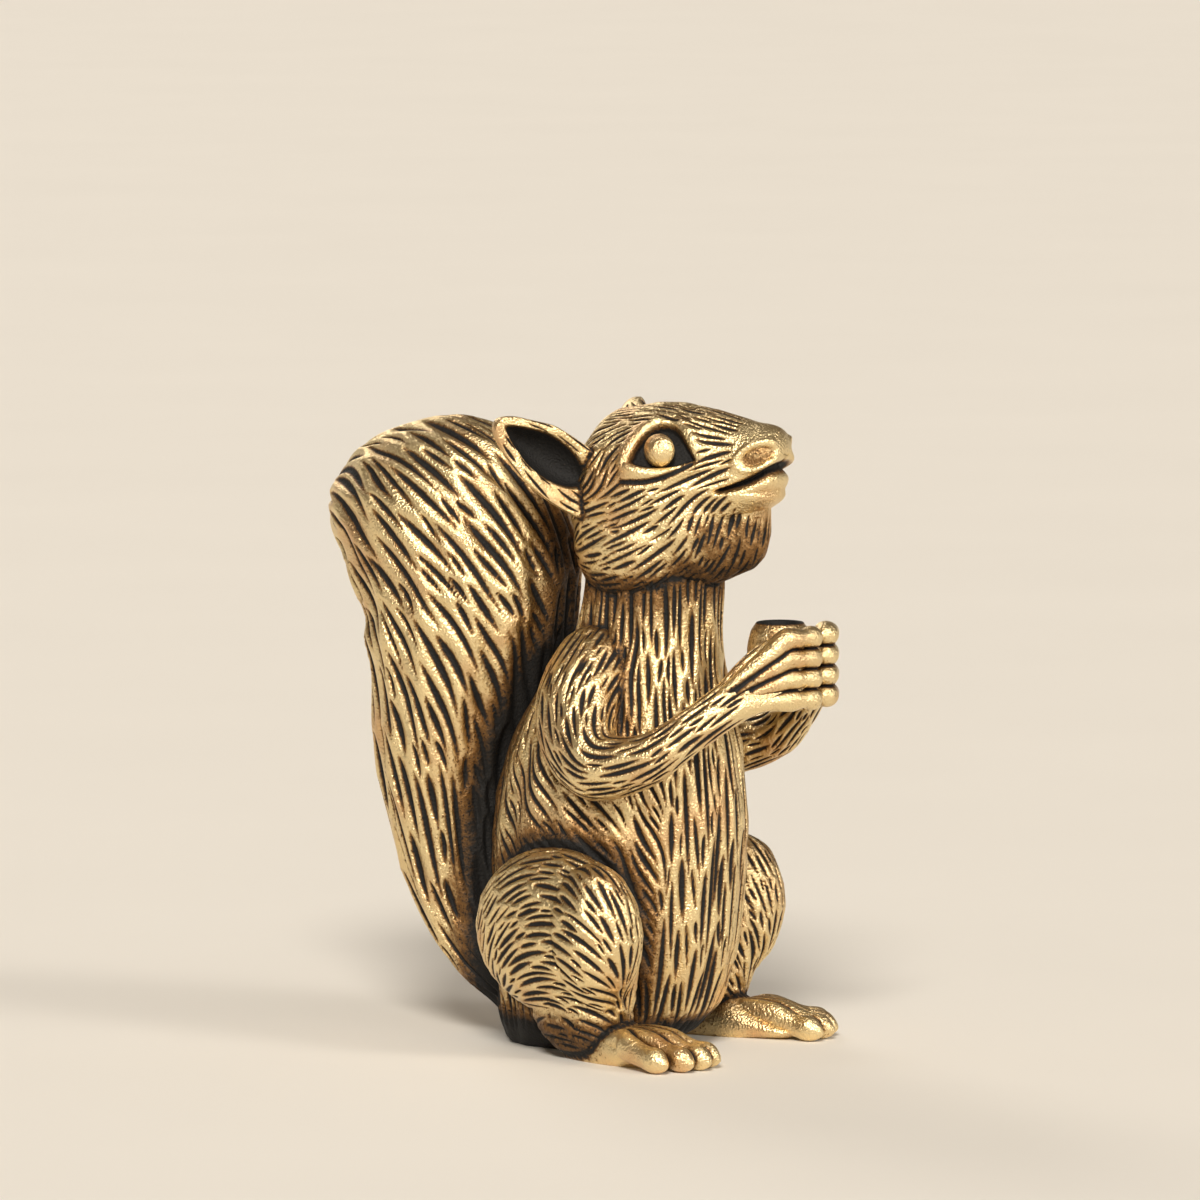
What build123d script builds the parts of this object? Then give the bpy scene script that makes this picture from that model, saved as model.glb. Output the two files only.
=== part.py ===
"""Small brass squirrel, sitting up on its haunches and holding a nut in its front paws.

The figure is a set of separate brass castings. Each one is shaped to sit against its
neighbour, is located by a round tenon in a matching socket, and is brazed there.

Millimetres. +Z is up, the squirrel faces -Y and its own left is +X. The origin is on the
ground, under the middle of the figure.
"""

import os
from collections import namedtuple
from math import cos, pi, radians, sin

from build123d import *

# An oval across the middle plane: its step ahead and up from the oval before it, its size in
# that plane (thick) and across it (wide), and the way the body runs there, in degrees above
# straight ahead.
Oval = namedtuple("Oval", "ahead up thick wide heading")

# A knot on a limb: its step outwards, ahead and up from the knot before it, and the limb's size
# there, upright (tall) and sideways (thick).
Knot = namedtuple("Knot", "out ahead up tall thick")

# A round tenon: its diameter and its length beyond the seat.
Tenon = namedtuple("Tenon", "diameter length")

# Brazing clearance around every tenon and bead, and the gap between the two paws
BRAZE_GAP = 0.04
PAW_GAP = 0.2

# Torso, stepped up from the ground, from the seat to the neck
SEAT = Oval(ahead=0.3, up=0.0, thick=9.6, wide=8.6, heading=90)
RUMP = Oval(ahead=1.8, up=3.0, thick=15.2, wide=12.2, heading=90)
LOINS = Oval(ahead=0.6, up=5.0, thick=16.8, wide=13.8, heading=90)
BELLY = Oval(ahead=0.3, up=6.0, thick=17.2, wide=13.8, heading=90)
CHEST = Oval(ahead=0.4, up=5.0, thick=15.6, wide=13, heading=90)
SHOULDERS = Oval(ahead=0.7, up=4.4, thick=12.2, wide=11.4, heading=90)
NECK = Oval(ahead=1.1, up=3.6, thick=9.6, wide=8.4, heading=90)
NECK_TOP = Oval(ahead=0.4, up=4.0, thick=9, wide=7.8, heading=90)
TORSO = [SEAT, RUMP, LOINS, BELLY, CHEST, SHOULDERS, NECK, NECK_TOP]

# Main locks of the coat: rounded ridges that run the length of the torso and of the tail, and
# the depth of the furrows between them, which fade out at both ends
TORSO_LOCKS = 16
TAIL_LOCKS = 14
LOCK_DEPTH = 0.4

# Head, stepped from the top of the neck, from the nape to the nose, carried a little nose-up
NAPE = Oval(ahead=-5.3, up=4.0, thick=3, wide=2.6, heading=0)
OCCIPUT = Oval(ahead=1.0, up=0.2, thick=7.6, wide=7, heading=0)
SKULL = Oval(ahead=2.0, up=0.4, thick=11, wide=10.2, heading=0)
BROW = Oval(ahead=2.8, up=0.4, thick=11.2, wide=10.6, heading=0)
EYES = Oval(ahead=2.8, up=0.5, thick=9.8, wide=8.8, heading=0)
SNOUT = Oval(ahead=2.4, up=0.5, thick=7.6, wide=6.2, heading=0)
MUZZLE = Oval(ahead=1.9, up=0.3, thick=5.8, wide=4.6, heading=0)
NOSE = Oval(ahead=1.3, up=0.5, thick=4, wide=3.4, heading=0)
NOSE_TIP = Oval(ahead=0.5, up=0.3, thick=1.8, wide=1.8, heading=0)
HEAD = [NAPE, OCCIPUT, SKULL, BROW, EYES, SNOUT, MUZZLE, NOSE, NOSE_TIP]

# Jowls, stepped from the top of the neck: the broad lower half of the head, overhanging it
JOWL_BACK = Oval(ahead=-4.9, up=1.6, thick=2.6, wide=4.4, heading=0)
JOWL_REAR = Oval(ahead=1.4, up=-0.2, thick=5.6, wide=8.6, heading=0)
JOWL_MIDDLE = Oval(ahead=3.2, up=-0.2, thick=7.2, wide=10.8, heading=0)
JOWL_FRONT = Oval(ahead=3.6, up=0.8, thick=6.2, wide=8.4, heading=0)
JOWL_CHIN = Oval(ahead=2.8, up=1.2, thick=3, wide=4, heading=0)
JOWL = [JOWL_BACK, JOWL_REAR, JOWL_MIDDLE, JOWL_FRONT, JOWL_CHIN]

# Mouth slit, stepped from the top of the neck to its corner and on past the nose
MOUTH_CORNER_AHEAD = 5.3
MOUTH_CORNER_UP = 5.1
MOUTH_LENGTH = 5.0
MOUTH_RISE = 0.7
MOUTH_OPENING = 0.9

# Fur tuft under the chin, stepped from the top of the neck
TUFT_TOP = Oval(ahead=4.9, up=3.6, thick=3.4, wide=3.4, heading=-60)
TUFT_MIDDLE = Oval(ahead=1.3, up=-1.6, thick=4.4, wide=4.2, heading=-60)
TUFT_LOW = Oval(ahead=0.4, up=-1.6, thick=3.2, wide=3.2, heading=-75)
TUFT_END = Oval(ahead=0.1, up=-0.8, thick=1.2, wide=1.2, heading=-80)
TUFT = [TUFT_TOP, TUFT_MIDDLE, TUFT_LOW, TUFT_END]

# Eye beads: step from the top of the neck, bead diameter, and how far the bead stands out
EYE_AHEAD = 2.3
EYE_UP = 7.7
EYE_DIAMETER = 2.6
EYE_STANDING = 0.8

# Ear, stepped from the top of the neck: a leaf scooped out on the face that looks ahead and outward
EAR_ROOT = Knot(out=3.2, ahead=-2.1, up=5.2, tall=4, thick=2.2)
EAR_LOW = Knot(out=1.8, ahead=-1.4, up=1.2, tall=4.8, thick=2.4)
EAR_BROAD = Knot(out=1.8, ahead=-1.4, up=1.4, tall=4.8, thick=2.3)
EAR_HIGH = Knot(out=1.5, ahead=-1.1, up=1.3, tall=3.2, thick=1.8)
EAR_TIP = Knot(out=0.7, ahead=-0.5, up=0.6, tall=1, thick=0.9)
EAR = [EAR_ROOT, EAR_LOW, EAR_BROAD, EAR_HIGH, EAR_TIP]
EAR_FACE = (-0.6, -0.8, 0.0)
EAR_SCOOP = 0.72
EAR_BACK = 0.8

# Tail, stepped from the rump, up behind the back, and curled away to the rear
TAIL_ROOT = Oval(ahead=-4.6, up=0.0, thick=5, wide=6.2, heading=150)
TAIL_BASE = Oval(ahead=-3.6, up=2.8, thick=6.2, wide=7.2, heading=128)
TAIL_LOW = Oval(ahead=-2.2, up=4.8, thick=8.2, wide=8.8, heading=106)
TAIL_MIDDLE = Oval(ahead=-0.8, up=6.4, thick=10.6, wide=10.6, heading=95)
TAIL_HIGH = Oval(ahead=0.8, up=6.6, thick=13.2, wide=12.4, heading=92)
TAIL_BROAD = Oval(ahead=0.0, up=4.9, thick=15, wide=13, heading=110)
TAIL_BEND = Oval(ahead=-2.0, up=4.3, thick=14.8, wide=12.8, heading=130)
TAIL_CURL = Oval(ahead=-3.4, up=2.4, thick=11.4, wide=10.8, heading=148)
TAIL_CROWN = Oval(ahead=-2.8, up=-0.1, thick=6.8, wide=7.2, heading=160)
TAIL_TIP = Oval(ahead=-1.1, up=-0.2, thick=3, wide=3.2, heading=165)
TAIL = [
    TAIL_ROOT, TAIL_BASE, TAIL_LOW, TAIL_MIDDLE, TAIL_HIGH,
    TAIL_BROAD, TAIL_BEND, TAIL_CURL, TAIL_CROWN, TAIL_TIP,
]

# Arm, stepped from the shoulders, round the elbow to the paw
ARM_ROOT = Knot(out=3.6, ahead=0.0, up=1.2, tall=4.4, thick=4.4)
UPPER_ARM = Knot(out=2.6, ahead=0.6, up=-2.2, tall=5.2, thick=4.6)
ABOVE_ELBOW = Knot(out=1.7, ahead=1.2, up=-2.2, tall=4.6, thick=4.2)
ELBOW = Knot(out=0.6, ahead=2.0, up=-0.9, tall=3.9, thick=3.8)
FOREARM = Knot(out=-0.7, ahead=2.4, up=1.5, tall=3, thick=3)
NEAR_WRIST = Knot(out=-1.6, ahead=2.3, up=2.0, tall=2.6, thick=2.6)
WRIST = Knot(out=-1.8, ahead=1.6, up=1.1, tall=3.2, thick=2.2)
PALM = Knot(out=-1.7, ahead=1.4, up=0.9, tall=4.8, thick=2)
PAW_END = Knot(out=-1.0, ahead=1.3, up=0.4, tall=5, thick=1.8)
ARM = [ARM_ROOT, UPPER_ARM, ABOVE_ELBOW, ELBOW, FOREARM, NEAR_WRIST, WRIST, PALM, PAW_END]

# Fingers: rods side by side across the end of the paw, closing on the other paw's fingers
FINGER_COUNT = 4
FINGER_DIAMETER = 1.4
FINGER_PITCH = 1.25
FINGER_LENGTH = 2.8
FINGER_REACH = 1.7
FINGER_WAY = (0.62, -0.78, 0.1)

# Nut between the paws, stepped from the palms: an upright egg with a hollow top
NUT_AHEAD = -0.9
NUT_UP = 0.6
NUT_DIAMETER = 4.2
NUT_TALL = 5.6
NUT_HOLLOW_DIAMETER = 2.8
NUT_HOLLOW_DEPTH = 0.8

# Haunch, stepped from the loins: the folded hind leg, an egg against the flank, and its shank
HAUNCH_BACK = Knot(out=5.2, ahead=-6.2, up=-0.4, tall=2.8, thick=2.2)
HAUNCH_REAR = Knot(out=0.5, ahead=1.2, up=0.2, tall=7.2, thick=5)
HAUNCH_MIDDLE = Knot(out=1.3, ahead=4.0, up=0.4, tall=10.6, thick=6.6)
HAUNCH_FRONT = Knot(out=1.8, ahead=4.6, up=0.2, tall=8.8, thick=5.2)
HAUNCH_KNEE = Knot(out=1.2, ahead=2.8, up=0.6, tall=4.2, thick=2.6)
HAUNCH = [HAUNCH_BACK, HAUNCH_REAR, HAUNCH_MIDDLE, HAUNCH_FRONT, HAUNCH_KNEE]
SHANK_TOP = Knot(out=7.2, ahead=2.2, up=-1.6, tall=5.4, thick=4.6)
ANKLE = Knot(out=0.0, ahead=0.6, up=-4.4, tall=4.2, thick=3.6)
SHANK = [SHANK_TOP, ANKLE]

# Foot, stepped from the ground under the loins: flat sole, heel to toes, splayed a little
HEEL = Knot(out=6.6, ahead=0.6, up=0.9, tall=2.2, thick=2.4)
INSTEP = Knot(out=0.5, ahead=2.8, up=0.2, tall=4.2, thick=3.6)
BALL_OF_FOOT = Knot(out=0.6, ahead=4.0, up=-0.3, tall=3, thick=4.6)
FOOT_FRONT = Knot(out=0.2, ahead=2.0, up=-0.1, tall=1.8, thick=4)
FOOT = [HEEL, INSTEP, BALL_OF_FOOT, FOOT_FRONT]
TOE_COUNT = 4
TOE_DIAMETER = 1.5
TOE_PITCH = 1.2
TOE_LENGTH = 4.2
TOE_HEIGHT = 0.6
TOE_REACH = 1.8
TOE_FAN = 4.0

# Tenons, and how far each is rooted in its own casting
NECK_TENON = Tenon(diameter=4.0, length=2.4)
TAIL_TENON = Tenon(diameter=2.6, length=3.0)
ARM_TENON = Tenon(diameter=2.0, length=2.0)
HAUNCH_TENON = Tenon(diameter=2.4, length=2.0)
FOOT_TENON = Tenon(diameter=1.4, length=1.8)
EAR_TENON = Tenon(diameter=1.2, length=1.4)
TENON_ROOT = 0.8

OUTWARD = Vector(-1, 0, 0)
DOWN = Vector(0, 0, -1)


def chain(base, stations):
    """The place of each station, stepped off from the one before, and the first from the base."""
    places = [base]
    for station in stations:
        out = getattr(station, "out", 0)
        places.append(places[-1] + Vector(-out, -station.ahead, station.up))
    return places[1:]


def oval_section(plane, across, upright):
    """One oval, kept out of the part until it is lofted."""
    with BuildSketch(plane, mode=Mode.PRIVATE) as section:
        Ellipse(across / 2, upright / 2)
    return section.sketch


def locked_section(plane, across, upright, locks, depth):
    """One oval with a ridge for each lock of hair and a furrow between each two."""
    points = []
    for half_lock in range(2 * locks):
        turn = pi * half_lock / locks
        swell = depth / 2 * (-1) ** half_lock
        points.append(((across / 2 + swell) * cos(turn), (upright / 2 + swell) * sin(turn)))
    with BuildSketch(plane, mode=Mode.PRIVATE) as section:
        with BuildLine():
            Spline(*points, periodic=True)
        make_face()
    return section.sketch


def middle_sections(base, ovals, locks=0):
    """The sections of a piece that lies in the middle plane, X across the figure."""
    sections = []
    for place, oval in zip(chain(base, ovals), ovals):
        run = (0, -cos(radians(oval.heading)), sin(radians(oval.heading)))
        plane = Plane(place, x_dir=(1, 0, 0), z_dir=run)
        if locks:
            depth = 0 if oval in (ovals[0], ovals[-1]) else LOCK_DEPTH
            sections.append(locked_section(plane, oval.wide, oval.thick, locks, depth))
        else:
            sections.append(oval_section(plane, oval.wide, oval.thick))
    return sections


def limb_sections(points, knots, side=OUTWARD, slimmer=1.0, shift=Vector(0, 0, 0)):
    """The sections of a right-hand limb, square to its run and turned to its named side."""
    befores = [points[0], *points[:-1]]
    afters = [*points[1:], points[-1]]
    sections = []
    for knot, before, here, after in zip(knots, befores, points, afters):
        run = (after - before).normalized()
        sideways = (side - run * side.dot(run)).normalized()
        plane = Plane(here + shift, x_dir=sideways, z_dir=run)
        sections.append(oval_section(plane, knot.thick, knot.tall * slimmer))
    return sections


def way_out(piece, start, way):
    """Where a line from inside a piece first comes out of it."""
    crossings = [point for point, normal in piece.find_intersection_points(Axis(start, way))]
    ahead = [point for point in crossings if (point - start).dot(Vector(way)) > 0]
    return min(ahead, key=lambda point: (point - start).length)


def rounded_rod(start, way, diameter, length):
    """A round rod with a rounded far end, for a finger or a toe."""
    with BuildPart(Plane(start, z_dir=way), mode=Mode.PRIVATE) as rod:
        Cylinder(diameter / 2, length, align=(Align.CENTER, Align.CENTER, Align.MIN))
        far_edge = rod.edges().sort_by(Axis(start, way))[-1]
        fillet(far_edge, diameter * 0.46)
    return rod.part


def tenon_rod(tenon, seat, way, gap=0.0):
    """A tenon through its seat along its way, or with a gap the socket that takes it."""
    start = seat - Vector(way).normalized() * TENON_ROOT
    with BuildPart(Plane(start, z_dir=way), mode=Mode.PRIVATE) as rod:
        Cylinder(
            tenon.diameter / 2 + gap,
            tenon.length + TENON_ROOT + gap,
            align=(Align.CENTER, Align.CENTER, Align.MIN),
        )
    return rod.part


def both_sides(piece):
    """A right-hand shape with its left-hand twin."""
    return [piece, mirror(piece, about=Plane.YZ)]


def save(piece, label):
    """Names a finished casting and writes its file."""
    piece.label = label
    export_step(piece, f"parts/{label}.step")


def save_pair(piece, name):
    """Writes a right-hand casting and its left-hand twin."""
    save(piece, f"right_{name}")
    save(mirror(piece, about=Plane.YZ), f"left_{name}")


os.makedirs("parts", exist_ok=True)

# The lines that the pieces are built along
ground = Vector(0, 0, 0)
torso_line = chain(ground, TORSO)
rump = torso_line[TORSO.index(RUMP)]
loins = torso_line[TORSO.index(LOINS)]
shoulders = torso_line[TORSO.index(SHOULDERS)]
neck = torso_line[TORSO.index(NECK_TOP)]
tail_line = chain(rump, TAIL)
arm_line = chain(shoulders, ARM)
haunch_line = chain(loins, HAUNCH)
shank_line = chain(loins, SHANK)
foot_line = chain(Vector(0, loins.Y, ground.Z), FOOT)
ear_line = chain(neck, EAR)

# Plain shapes, before any is cut to sit on another
with BuildPart() as torso_shape:
    loft(middle_sections(ground, TORSO, TORSO_LOCKS))
    split(bisect_by=Plane.YZ, keep=Keep.BOTTOM)
    mirror(about=Plane.YZ)

with BuildPart() as head_shape:
    loft(middle_sections(neck, HEAD))
    loft(middle_sections(neck, JOWL))
    loft(middle_sections(neck, TUFT))

with BuildPart() as haunch_shape:
    loft(limb_sections(haunch_line, HAUNCH))
    loft(limb_sections(shank_line, SHANK))

# Seats: where each casting meets the surface it stands on
tail_way = tail_line[1] - tail_line[0]
tail_seat = way_out(torso_shape.part, tail_line[0], tail_way)
arm_way = arm_line[1] - arm_line[0]
arm_seat = way_out(torso_shape.part, arm_line[0], arm_way)
thigh = haunch_line[HAUNCH.index(HAUNCH_MIDDLE)]
haunch_seat = way_out(torso_shape.part, Vector(0, thigh.Y, thigh.Z), OUTWARD)
foot_seat = way_out(haunch_shape.part, shank_line[0], DOWN)
ear_way = ear_line[-1] - ear_line[0]
ear_seat = way_out(head_shape.part, ear_line[0], ear_way)
eye_seat = way_out(head_shape.part, neck + Vector(0, -EYE_AHEAD, EYE_UP), OUTWARD)
eye_centre = eye_seat + OUTWARD * (EYE_STANDING - EYE_DIAMETER / 2)
mouth_corner = Vector(neck.Y - MOUTH_CORNER_AHEAD, neck.Z + MOUTH_CORNER_UP)
palm = arm_line[ARM.index(PALM)]
nut_centre = Vector(0, palm.Y - NUT_AHEAD, palm.Z + NUT_UP)

with BuildPart() as torso:
    add(torso_shape.part)
    add(tenon_rod(NECK_TENON, neck, -DOWN))
    add(tenon_rod(TAIL_TENON, tail_seat, -tail_way, BRAZE_GAP), mode=Mode.SUBTRACT)
    add(both_sides(tenon_rod(ARM_TENON, arm_seat, -arm_way, BRAZE_GAP)), mode=Mode.SUBTRACT)
    add(both_sides(tenon_rod(HAUNCH_TENON, haunch_seat, -OUTWARD, BRAZE_GAP)), mode=Mode.SUBTRACT)
save(torso.part, "torso")

with BuildPart() as head:
    add(head_shape.part)
    with BuildSketch(Plane.YZ):
        with BuildLine():
            Polyline(
                mouth_corner,
                mouth_corner + Vector(-MOUTH_LENGTH, MOUTH_RISE - MOUTH_OPENING / 2),
                mouth_corner + Vector(-MOUTH_LENGTH, MOUTH_RISE + MOUTH_OPENING / 2),
                close=True,
            )
        make_face()
    extrude(amount=SNOUT.wide, both=True, mode=Mode.SUBTRACT)
    add(torso_shape.part, mode=Mode.SUBTRACT)
    add(tenon_rod(NECK_TENON, neck, -DOWN, BRAZE_GAP), mode=Mode.SUBTRACT)
    add(both_sides(tenon_rod(EAR_TENON, ear_seat, -ear_way, BRAZE_GAP)), mode=Mode.SUBTRACT)
    with Locations(eye_centre, Vector(-eye_centre.X, eye_centre.Y, eye_centre.Z)):
        Sphere(EYE_DIAMETER / 2 + BRAZE_GAP, mode=Mode.SUBTRACT)
save(head.part, "head")

with BuildPart() as eye:
    with Locations(eye_centre):
        Sphere(EYE_DIAMETER / 2)
save_pair(eye.part, "eye")

with BuildPart() as ear:
    loft(limb_sections(ear_line, EAR, Vector(EAR_FACE)))
    scoop_shift = (Vector(EAR_FACE) + Vector(ear_way).normalized()) * EAR_BACK
    loft(limb_sections(ear_line[1:], EAR[1:], Vector(EAR_FACE), EAR_SCOOP, scoop_shift), mode=Mode.SUBTRACT)
    add(head_shape.part, mode=Mode.SUBTRACT)
    add(tenon_rod(EAR_TENON, ear_seat, -ear_way))
save_pair(ear.part, "ear")

with BuildPart() as tail:
    loft(middle_sections(rump, TAIL, TAIL_LOCKS))
    split(bisect_by=Plane.YZ, keep=Keep.BOTTOM)
    mirror(about=Plane.YZ)
    add(torso_shape.part, mode=Mode.SUBTRACT)
    add(tenon_rod(TAIL_TENON, tail_seat, -tail_way))
save(tail.part, "tail")

with BuildPart() as nut:
    with BuildSketch(Plane(nut_centre, x_dir=(1, 0, 0), z_dir=(0, -1, 0))):
        Ellipse(NUT_DIAMETER / 2, NUT_TALL / 2)
        with Locations((-NUT_DIAMETER, 0)):
            Rectangle(NUT_DIAMETER * 2, NUT_TALL * 2, mode=Mode.SUBTRACT)
    revolve(axis=Axis(nut_centre, (0, 0, 1)))
    with Locations(nut_centre + Vector(0, 0, NUT_TALL / 2)):
        Cylinder(NUT_HOLLOW_DIAMETER / 2, NUT_HOLLOW_DEPTH * 2, mode=Mode.SUBTRACT)
save(nut.part, "nut")

with BuildPart() as arm:
    loft(limb_sections(arm_line, ARM))
    for finger in range(FINGER_COUNT):
        step = (finger - (FINGER_COUNT - 1) / 2) * FINGER_PITCH
        knuckle = arm_line[-1] + Vector(0, 0, step) - Vector(FINGER_WAY) * FINGER_REACH
        add(rounded_rod(knuckle, FINGER_WAY, FINGER_DIAMETER, FINGER_LENGTH))
    add(torso_shape.part, mode=Mode.SUBTRACT)
    add(tenon_rod(ARM_TENON, arm_seat, -arm_way))
    with Locations(nut_centre):
        Cylinder(NUT_DIAMETER / 2 + BRAZE_GAP, NUT_TALL * 2, mode=Mode.SUBTRACT)
    split(bisect_by=Plane.YZ.offset(-PAW_GAP / 2), keep=Keep.BOTTOM)
save_pair(arm.part, "arm")

with BuildPart() as haunch:
    add(haunch_shape.part)
    add(torso_shape.part, mode=Mode.SUBTRACT)
    add(tenon_rod(HAUNCH_TENON, haunch_seat, -OUTWARD))
    add(tenon_rod(FOOT_TENON, foot_seat, -DOWN, BRAZE_GAP), mode=Mode.SUBTRACT)
save_pair(haunch.part, "haunch")

with BuildPart() as foot:
    loft(limb_sections(foot_line, FOOT))
    for toe in range(TOE_COUNT):
        step = toe - (TOE_COUNT - 1) / 2
        splay = radians(TOE_FAN * step + TOE_FAN)
        toe_way = Vector(-sin(splay), -cos(splay), 0)
        toe_root = Vector(foot_line[-1].X - step * TOE_PITCH, foot_line[-1].Y, TOE_HEIGHT)
        add(rounded_rod(toe_root - toe_way * (TOE_LENGTH - TOE_REACH), toe_way, TOE_DIAMETER, TOE_LENGTH))
    split(bisect_by=Plane.XY, keep=Keep.TOP)
    add(haunch_shape.part, mode=Mode.SUBTRACT)
    add(tenon_rod(FOOT_TENON, foot_seat, -DOWN))
save_pair(foot.part, "foot")
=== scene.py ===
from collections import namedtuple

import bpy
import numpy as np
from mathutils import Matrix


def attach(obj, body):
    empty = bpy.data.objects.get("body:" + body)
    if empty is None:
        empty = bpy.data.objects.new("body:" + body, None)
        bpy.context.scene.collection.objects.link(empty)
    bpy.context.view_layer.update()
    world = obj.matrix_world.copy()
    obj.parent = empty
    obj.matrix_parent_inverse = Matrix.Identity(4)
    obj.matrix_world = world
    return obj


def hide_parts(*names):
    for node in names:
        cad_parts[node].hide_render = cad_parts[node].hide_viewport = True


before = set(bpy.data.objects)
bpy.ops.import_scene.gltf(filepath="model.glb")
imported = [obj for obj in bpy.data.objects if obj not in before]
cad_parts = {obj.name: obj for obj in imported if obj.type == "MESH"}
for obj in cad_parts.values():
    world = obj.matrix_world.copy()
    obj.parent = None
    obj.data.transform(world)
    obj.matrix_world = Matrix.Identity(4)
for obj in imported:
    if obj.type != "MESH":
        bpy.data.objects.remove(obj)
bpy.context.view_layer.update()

# %% [markdown]
# # A small brass squirrel with an antique finish
# The ornament is cast brass, about 42 mm tall. Its fur is cut into the metal as tapered grooves,
# the whole casting is blackened, and then the high parts are rubbed bright again, so the grooves
# and corners stay dark. Every casting of the CAD model is rebuilt here, in the same frame, as a
# denser surface that carries those grooves as real relief.
#
# Such a figure could be sculpted by hand. Here each form is a formula with real sizes instead, so
# that it fits the CAD model and every groove can follow the lie of the coat.

MM = 0.001

# %% [markdown]
# ## Small tools
# All shapes are worked out in millimetres as whole numpy arrays, with x to the squirrel's left, y to
# its rear and z up. They become metres only when a mesh is made. A soft step and a bell are enough
# to fade, blend and dent everything below, so they come first.


# %% Unit vectors, steps and bells
def unit(vectors):
    """Each vector divided by its own length."""
    return vectors / np.maximum(np.linalg.norm(vectors, axis=-1, keepdims=True), 1e-9)


def smoothstep(low, high, value):
    """Zero below low, one above high, and a smooth rise between."""
    share = np.clip((value - low) / (high - low), 0, 1)
    return share * share * (3 - 2 * share)


def hump(centre, half, value):
    """A bell that is one at the centre and falls to about a third at half away."""
    return np.exp(-(((value - centre) / half) ** 2))


print("a step half way up:", smoothstep(0, 1, 0.5), "a bell at half:", round(float(hump(0, 1, 1)), 2))


# %% A curve through given values
def spline(knots, values, at):
    """A curve through the values: cubic pieces whose slopes never overshoot a value."""
    values = np.asarray(values, float)
    shape = (-1,) + (1,) * (values.ndim - 1)
    rates = np.diff(values, axis=0) / np.diff(knots).reshape(shape)
    before = np.concatenate([rates[:1], rates])
    after = np.concatenate([rates, rates[-1:]])
    same = before * after > 0
    slopes = np.where(same, 2 * before * after / np.where(same, before + after, 1), 0)
    slopes[0] = rates[0]
    slopes[-1] = rates[-1]
    index = np.clip(np.searchsorted(knots, at) - 1, 0, len(knots) - 2)
    step = (knots[index + 1] - knots[index]).reshape(shape)
    share = ((at - knots[index]).reshape(shape)) / step
    rest = 1 - share
    return (
        values[index] * rest**2 * (1 + 2 * share)
        + values[index + 1] * share**2 * (1 + 2 * rest)
        + step * share * rest * (slopes[index] * rest - slopes[index + 1] * share)
    )


print("half way along a straight spline:", spline(np.array((0.0, 1.0)), (0.0, 1.0), np.array([0.5])))

# %% [markdown]
# ## Swept bodies
# A torso, a tail or a finger is an oval that changes size along a bent line. A curve with a bevel
# or the Skin modifier could give that, but neither takes a height and a width of its own at each
# station. So the oval is swept by a formula, and its rows are spaced evenly on the skin, which the
# fur needs later. Torso and tail also carry broad locks, as the solids do.

# %% Sweeping an oval
LOCK_DEPTH = 0.2
LOCK_FADE = 9.0


def sweep(centres, across, upright, runs, side, rows, columns, locks=0):
    """A closed oval tube. At each station an oval stands square to the run of the tube, half
    as wide as across towards the side and half as high as upright; squared sizes are splined,
    so that a size of zero closes the end with a round cap. Rows are spaced evenly on the skin.
    Locks are that many ridges round the oval, a cosine wave that fades out at both ends."""
    centres = np.asarray(centres, float)
    across = np.asarray(across, float) / 2
    upright = np.asarray(upright, float) / 2
    gaps = np.linalg.norm(np.diff(centres, axis=0), axis=1)
    knots = np.concatenate([[0], np.cumsum(np.hypot(gaps, np.diff(across)))])

    def stations(at):
        wide = np.sqrt(np.clip(spline(knots, across**2, at), 0, None))
        high = np.sqrt(np.clip(spline(knots, upright**2, at), 0, None))
        return spline(knots, centres, at), wide, high

    fine = np.linspace(0, knots[-1], 4000)
    middle, wide, high = stations(fine)
    stretch = np.linalg.norm(np.diff(middle, axis=0), axis=1) ** 2
    stretch = np.sqrt(stretch + (np.diff(wide) ** 2 + np.diff(high) ** 2) / 2)
    length = np.concatenate([[0], np.cumsum(stretch)])
    at = np.interp(np.linspace(0, length[-1], rows), length, fine)
    middle, wide, high = stations(at)
    run = unit(spline(knots, runs, at))
    side = np.asarray(side, float)
    sideways = unit(side - run * (run @ side)[:, None])
    rise = np.cross(run, sideways)
    turn = np.linspace(0, 2 * np.pi, columns, endpoint=False)[None, :, None]
    fade = smoothstep(0, LOCK_FADE, at) * smoothstep(0, LOCK_FADE, knots[-1] - at)
    swell = LOCK_DEPTH / 2 * (locks > 0) * fade[:, None, None] * np.cos(locks * turn)
    return (
        middle[:, None]
        + (wide[:, None, None] + swell) * np.cos(turn) * sideways[:, None]
        + (high[:, None, None] + swell) * np.sin(turn) * rise[:, None]
    )


print("locks stand", LOCK_DEPTH, "mm high and fade over", LOCK_FADE, "mm")

# %% [markdown]
# ## Torso and tail
# The torso rises from the flat seat to the neck, and the tail from the rump up behind the back, with
# its top curled away. Both are ovals on the middle plane. Each row gives how far ahead and how
# high the oval's middle is, its size in that plane, its width, and its heading in degrees.


# %% Torso
def midline(ovals, rows, columns, locks=0):
    """A swept body from rows of ahead, up, size in the middle plane, width and heading."""
    ovals = np.asarray(ovals, float)
    centres = np.stack([0 * ovals[:, 0], -ovals[:, 0], ovals[:, 1]], -1)
    heading = np.radians(ovals[:, 4])
    runs = np.stack([0 * heading, -np.cos(heading), np.sin(heading)], -1)
    return sweep(centres, ovals[:, 3], ovals[:, 2], runs, (1, 0, 0), rows, columns, locks)


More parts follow.
